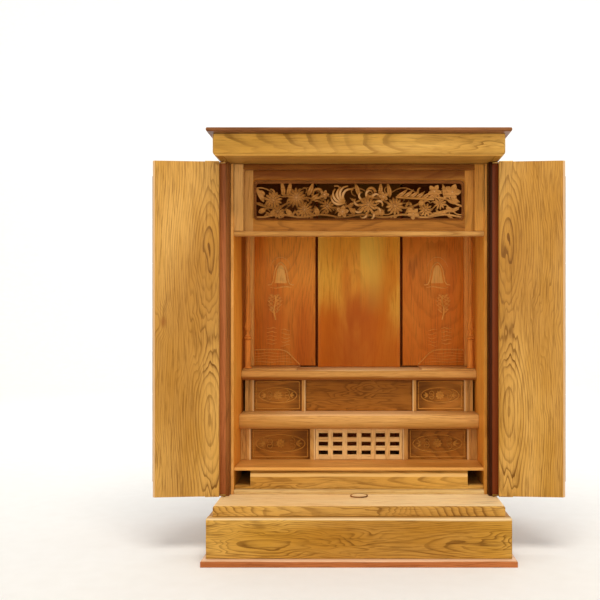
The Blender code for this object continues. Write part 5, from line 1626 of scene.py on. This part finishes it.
# %% [markdown]
# Below lie the steps of a garden and a terrace of earth in layers. Each is a row of nearly
# level lines, waved a little, because a straight line would look ruled and not carved.

# %% Steps and terrace
def garden_steps(bm, panel):
    """Five steps, each a near line and a far one."""
    for i in range(5):
        near_route = [spot(panel, 28 + 2.2 * k, 63 - 6.5 * i - 0.9 * math.sin(k * 0.9 + i))
                      for k in range(9)]
        laid(bm, panel, near_route, 1.5 * MM)
        far_route = [spot(panel, 52 + 2.0 * k, 60 - 6.5 * i + 1.6 * math.sin(k * 0.6 + i))
                     for k in range(9)]
        laid(bm, panel, far_route, 1.2 * MM)


def terrace(bm, panel):
    """A bold edge that falls away to one side, over four thin layers."""
    edge = [spot(panel, *place) for place in (
        (2, 26), (14, 26.5), (27, 27), (40, 27), (52, 26.5), (59, 25), (65, 21.5), (71, 15.5),
        (77, 9), (84, 2),
    )]
    laid(bm, panel, edge, 2.0 * MM, RELIEF * 1.5, False)
    for level, reach in ((21, 60), (16, 65), (11, 70), (6, 75)):
        layer = [spot(panel, 2 + (reach - 2) * k / 14, level + 0.7 * math.sin(k * 0.8 + level))
                 for k in range(15)]
        laid(bm, panel, layer, 1.2 * MM)


for side, sign in (("left", -1), ("right", 1)):
    low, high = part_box(f"wing_panel_{side}")
    panel = {"sign": sign, "outer": max(abs(low.x), abs(high.x)), "foot": low.z,
             "face": low.y + 0.05 * MM}
    bm = bmesh.new()
    for draw in (bell_over_mist, upright_pine, garden_steps, terrace):
        draw(bm, panel)
    relief = new_piece(f"wing_relief_{side}", bm, angle=60)
    relief.data.materials.append(
        cut_for(f"wing_panel_{side}", "relief_wood", Z, X, depth=60, patch=0.4, **INSIDE),
    )
    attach(relief, BODY_OF[f"wing_panel_{side}"])
print("wing relief triangles", sum(len(f.vertices) - 2 for f in relief.data.polygons))

# %% [markdown]
# Each small panel has a bead frame near its edges and an oval rim, and in the oval a flower
# between scrolls and leaves. This is arabesque, a pattern that any joiner's pattern book
# has. It is laid on the flat panel, under a millimetre high at the rim.

# %% A scroll
def scroll(bm, back, centre, radius, start, turns, width, height):
    """A spiral line of the kind used in arabesques."""
    steps = 22
    route = []
    for step in range(steps):
        share = step / (steps - 1)
        reach = radius * (1 - 0.82 * share)
        angle = start + turns * 2 * math.pi * share
        route.append((centre[0] + reach * math.cos(angle), centre[1] + reach * math.sin(angle)))
    carve(bm, back, route, [width * (1 - 0.4 * step / (steps - 1)) for step in range(steps)],
          [height * 0.3] * steps, height * 0.7)


print("a scroll is a spiral that loses four fifths of its radius")

# %% [markdown]
# The four panels differ only in size, so one drawing serves for all of them. The frame
# follows each panel's own edges, and the oval has a size of its own on each tier.

# %% Small panels with scrolls in ovals
FRAME_INSET = 3.4 * MM
RIM_STEPS = 61
LAID_AT = 0.05 * MM             # how far a laid piece sinks into the panel's face
SUNK = 1.5 * MM                 # the oval's ground lies lower than the rim


def panel_frame(bm, low, high):
    """A bead along each edge of a panel, set in from it."""
    left, right = low.x + FRAME_INSET, high.x - FRAME_INSET
    foot, head = low.z + FRAME_INSET, high.z - FRAME_INSET
    for ends in (((left, foot), (right, foot)), ((left, head), (right, head)),
                 ((left, foot), (left, head)), ((right, foot), (right, head))):
        bead_line = [tuple(Vector(ends[0]).lerp(Vector(ends[1]), k / 4)) for k in range(5)]
        carve(bm, low.y + LAID_AT, bead_line, [1.6 * MM] * 5, [0.2 * MM] * 5, 0.8 * MM)


def arabesque(bm, back, centre, width, height):
    """A flower between four scrolls and two sprays of leaves."""
    petal_ring(bm, back, centre, 1.2 * MM, 7.2 * MM, 9, 3.6 * MM, 0.8 * MM, 0.5 * MM)
    button(bm, back, centre, 1.9 * MM, 1.4 * MM)
    for way in (-1, 1):
        for up in (-1, 1):
            place = (centre[0] + way * width * 0.24, centre[1] + up * height * 0.14)
            scroll(bm, back, place, height * 0.24, up * 1.6 + (way < 0) * math.pi,
                   -up * way * 1.15, 1.3 * MM, 1.2 * MM)
        for lean in (-0.7, 0.0, 0.7):
            root = (centre[0] + way * width * 0.33, centre[1])
            angle = lean if way > 0 else math.pi - lean
            leaf(bm, back, root, width * 0.13, 2.8 * MM, angle, 1.9 * MM, 0.0)


for word, oval_width, oval_height in (("lower", 74 * MM, 25 * MM), ("upper", 58 * MM, 22 * MM)):
    for side in ("left", "right"):
        node = f"{word}_panel_{side}"
        low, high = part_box(node)
        centre = ((low.x + high.x) / 2, (low.z + high.z) / 2)
        bm = bmesh.new()
        rim = arc(centre, oval_width / 2 + 1.2 * MM, oval_height / 2 + 1.2 * MM, 0, 360,
                  RIM_STEPS)
        carve(bm, low.y + LAID_AT, rim, [1.5 * MM] * RIM_STEPS, [0.15 * MM] * RIM_STEPS,
              0.55 * MM)
        panel_frame(bm, low, high)
        arabesque(bm, low.y + SUNK, centre, oval_width, oval_height)
        scrolls = new_piece(f"{word}_panel_scrolls_{side}", bm, angle=60)
        scrolls.data.materials.append(
            cut_for(node, "scroll_wood", X, Z, ring=2.2, depth=26, **INSIDE),
        )
        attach(scrolls, BODY_OF[node])
print("scroll triangles on one panel", sum(len(f.vertices) - 2 for f in scrolls.data.polygons))

# %% [markdown]
# The metal is brass strip, brushed along its length and left to mellow under wax. Fine
# scratches all run one way, so the roughness is streaked, and old wax darkens the metal
# in soft patches. Brass has no clear coat here, which keeps its gloss broad and warm. Real
# scratches are a few hundredths of a millimetre apart and wouldn't show, so they are drawn
# about ten times as coarse.

# %% Brushed brass
SCRATCH_GAP = 0.35 * MM
SCRATCH_LENGTH = 14 * MM
WAX_PATCH = 26 * MM


def brushed_brass(name, bright, dull, roughness, along):
    """Make brass that is brushed along one axis."""
    material = bpy.data.materials.new(name)
    material.use_nodes = True
    tree = material.node_tree
    shader = tree.nodes["Principled BSDF"]
    shader.inputs["Metallic"].default_value = 1.0
    spot = add(tree, "ShaderNodeTexCoord", {}, {})
    stretch = [1 / SCRATCH_GAP] * 3
    stretch[along] = 1 / SCRATCH_LENGTH
    scratch_point = add(tree, "ShaderNodeVectorMath", {"operation": "MULTIPLY"}, {
        0: spot.outputs["Object"], 1: stretch,
    })
    scratches = add(tree, "ShaderNodeTexNoise", {}, {
        "Vector": scratch_point.outputs[0], "Scale": 1.0, "Detail": 3.0,
    })
    mellow = add(tree, "ShaderNodeTexNoise", {}, {
        "Vector": spot.outputs["Object"], "Scale": 1 / WAX_PATCH, "Detail": 2.0,
    })
    mellow_share = add(tree, "ShaderNodeMapRange", {"interpolation_type": "SMOOTHSTEP"}, {
        "Value": mellow.outputs["Fac"], "From Min": 0.38, "From Max": 0.66,
    })
    colour = add(tree, "ShaderNodeMix", {"data_type": "RGBA"}, {
        0: mellow_share.outputs[0], 6: paint(bright), 7: paint(dull),
    })
    tree.links.new(colour.outputs[2], shader.inputs["Base Color"])
    rough = add(tree, "ShaderNodeMapRange", {}, {
        "Value": scratches.outputs["Fac"], "From Min": 0.3, "From Max": 0.7,
        "To Min": roughness - 0.07, "To Max": roughness + 0.10,
    })
    tree.links.new(rough.outputs[0], shader.inputs["Roughness"])
    bump = add(tree, "ShaderNodeBump", {}, {
        "Height": scratches.outputs["Fac"], "Strength": 0.25, "Distance": 0.02 * MM,
    })
    tree.links.new(bump.outputs["Normal"], shader.inputs["Normal"])
    return material


print("scratches", round(SCRATCH_GAP / MM, 2), "mm apart")

# %% [markdown]
# Long strip hinges join the leaves, and a plate with a pin carries each door at the top and
# the bottom. Their edges are only just broken with a file, so the arris is finer than
# wood's.

# %% Hinges and pivots
hinge_brass = brushed_brass("brushed_brass_strip", "CCA25C", "B48A48", 0.36, Z)
pivot_brass = brushed_brass("brushed_brass_plate", "D0A660", "96702F", 0.38, X)
ring_brass = brushed_brass("rubbed_brass_ring", "B87C44", "7E4C20", 0.42, X)
for side in ("left", "right"):
    for word in ("hinge_fixed", "hinge_moving"):
        dress(f"{side}_{word}", 0.12).data.materials.append(hinge_brass)
    for word in ("pivot_top", "pivot_bottom"):
        dress(f"{side}_{word}", 0.15).data.materials.append(pivot_brass)
print("hinges and pivots in brass")

# %% [markdown]
# In the slab, before the opening, lies a disc of the slab's own pale wood, let in and
# ringed with a thin line of brass. It is turned on the same lathe as the columns: the
# profile runs out along the foot, up over the ring, and in over the wood.

# %% Catch disc
low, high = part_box("catch_disc")
centre = ((low.x + high.x) / 2, (low.y + high.y) / 2)
radius, top = (high.x - low.x) / 2, high.z
RING_WIDTH, RECESS = 1.9 * MM, 0.55 * MM
profile = [(0.2 * MM, low.z), (radius - 0.3 * MM, low.z), (radius, low.z + 0.3 * MM),
           (radius, top - 0.45 * MM), (radius - 0.2 * MM, top - 0.12 * MM),
           (radius - 0.6 * MM, top), (radius - RING_WIDTH + 0.4 * MM, top),
           (radius - RING_WIDTH, top - 0.3 * MM), (radius - RING_WIDTH, top - RECESS)]
profile += [(radius * 0.6, top - RECESS + 0.10 * MM), (radius * 0.3, top - RECESS + 0.16 * MM),
            (0.2 * MM, top - RECESS + 0.18 * MM)]
bm = bmesh.new()
spin(bm, centre, profile, 64)
disc = new_piece("catch_disc_turned", bm)
settle(disc, "catch_disc")
two_tone(
    disc, lambda at: math.hypot(at.x - centre[0], at.y - centre[1]) < radius - RING_WIDTH
    and at.z > low.z + 0.1 * MM,
    ring_brass, cut_for("catch_disc", "slab_wood", X, Y, depth=-20),
)
print("disc radius", round(radius / MM, 1), "mm")

# %% [markdown]
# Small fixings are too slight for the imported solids. Round pins hold the back board to
# the walls and the ceiling; on the real object they are driven in and dulled with wax.
# Each is five rings of points, low and round, and all are one piece.

# %% Pins in the back board
def pin_head(bm, place, radius, rise, axis_sign, sides=16):
    """Add a low round head that looks along Y, towards the sign's side."""
    rings = []
    for reach, height in ((1.0, -0.4), (1.0, 0.35), (0.85, 0.75), (0.45, 1.0), (0.04, 1.05)):
        rings.append([
            bm.verts.new((
                place[0] + reach * radius * math.cos(2 * math.pi * i / sides),
                place[1] + axis_sign * rise * height,
                place[2] + reach * radius * math.sin(2 * math.pi * i / sides),
            ))
            for i in range(sides)
        ])
    bm.faces.new(rings[0])
    bm.faces.new(rings[-1])
    for outer_ring, inner_ring in zip(rings, rings[1:]):
        for i in range(sides):
            j = (i + 1) % sides
            bm.faces.new((outer_ring[i], outer_ring[j], inner_ring[j], inner_ring[i]))


low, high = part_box("back_board")
bm = bmesh.new()
PIN_INSET, PIN_RADIUS, PIN_RISE = 9 * MM, 1.5 * MM, 0.5 * MM
PIN_ROWS = 9
for row in range(PIN_ROWS):
    z = low.z + PIN_INSET + (high.z - low.z - 2 * PIN_INSET) * row / (PIN_ROWS - 1)
    for x in (low.x + PIN_INSET, high.x - PIN_INSET):
        pin_head(bm, (x, high.y, z), PIN_RADIUS, PIN_RISE, 1)
for z in (low.z + PIN_INSET, high.z - PIN_INSET):
    for share in (0.25, 0.5, 0.75):
        pin_head(bm, (low.x + (high.x - low.x) * share, high.y, z), PIN_RADIUS, PIN_RISE, 1)
pins = new_piece("back_board_pins", bm, pivot_brass, 50)
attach(pins, BODY_OF["back_board"])
print("pins", 2 * PIN_ROWS + 6)
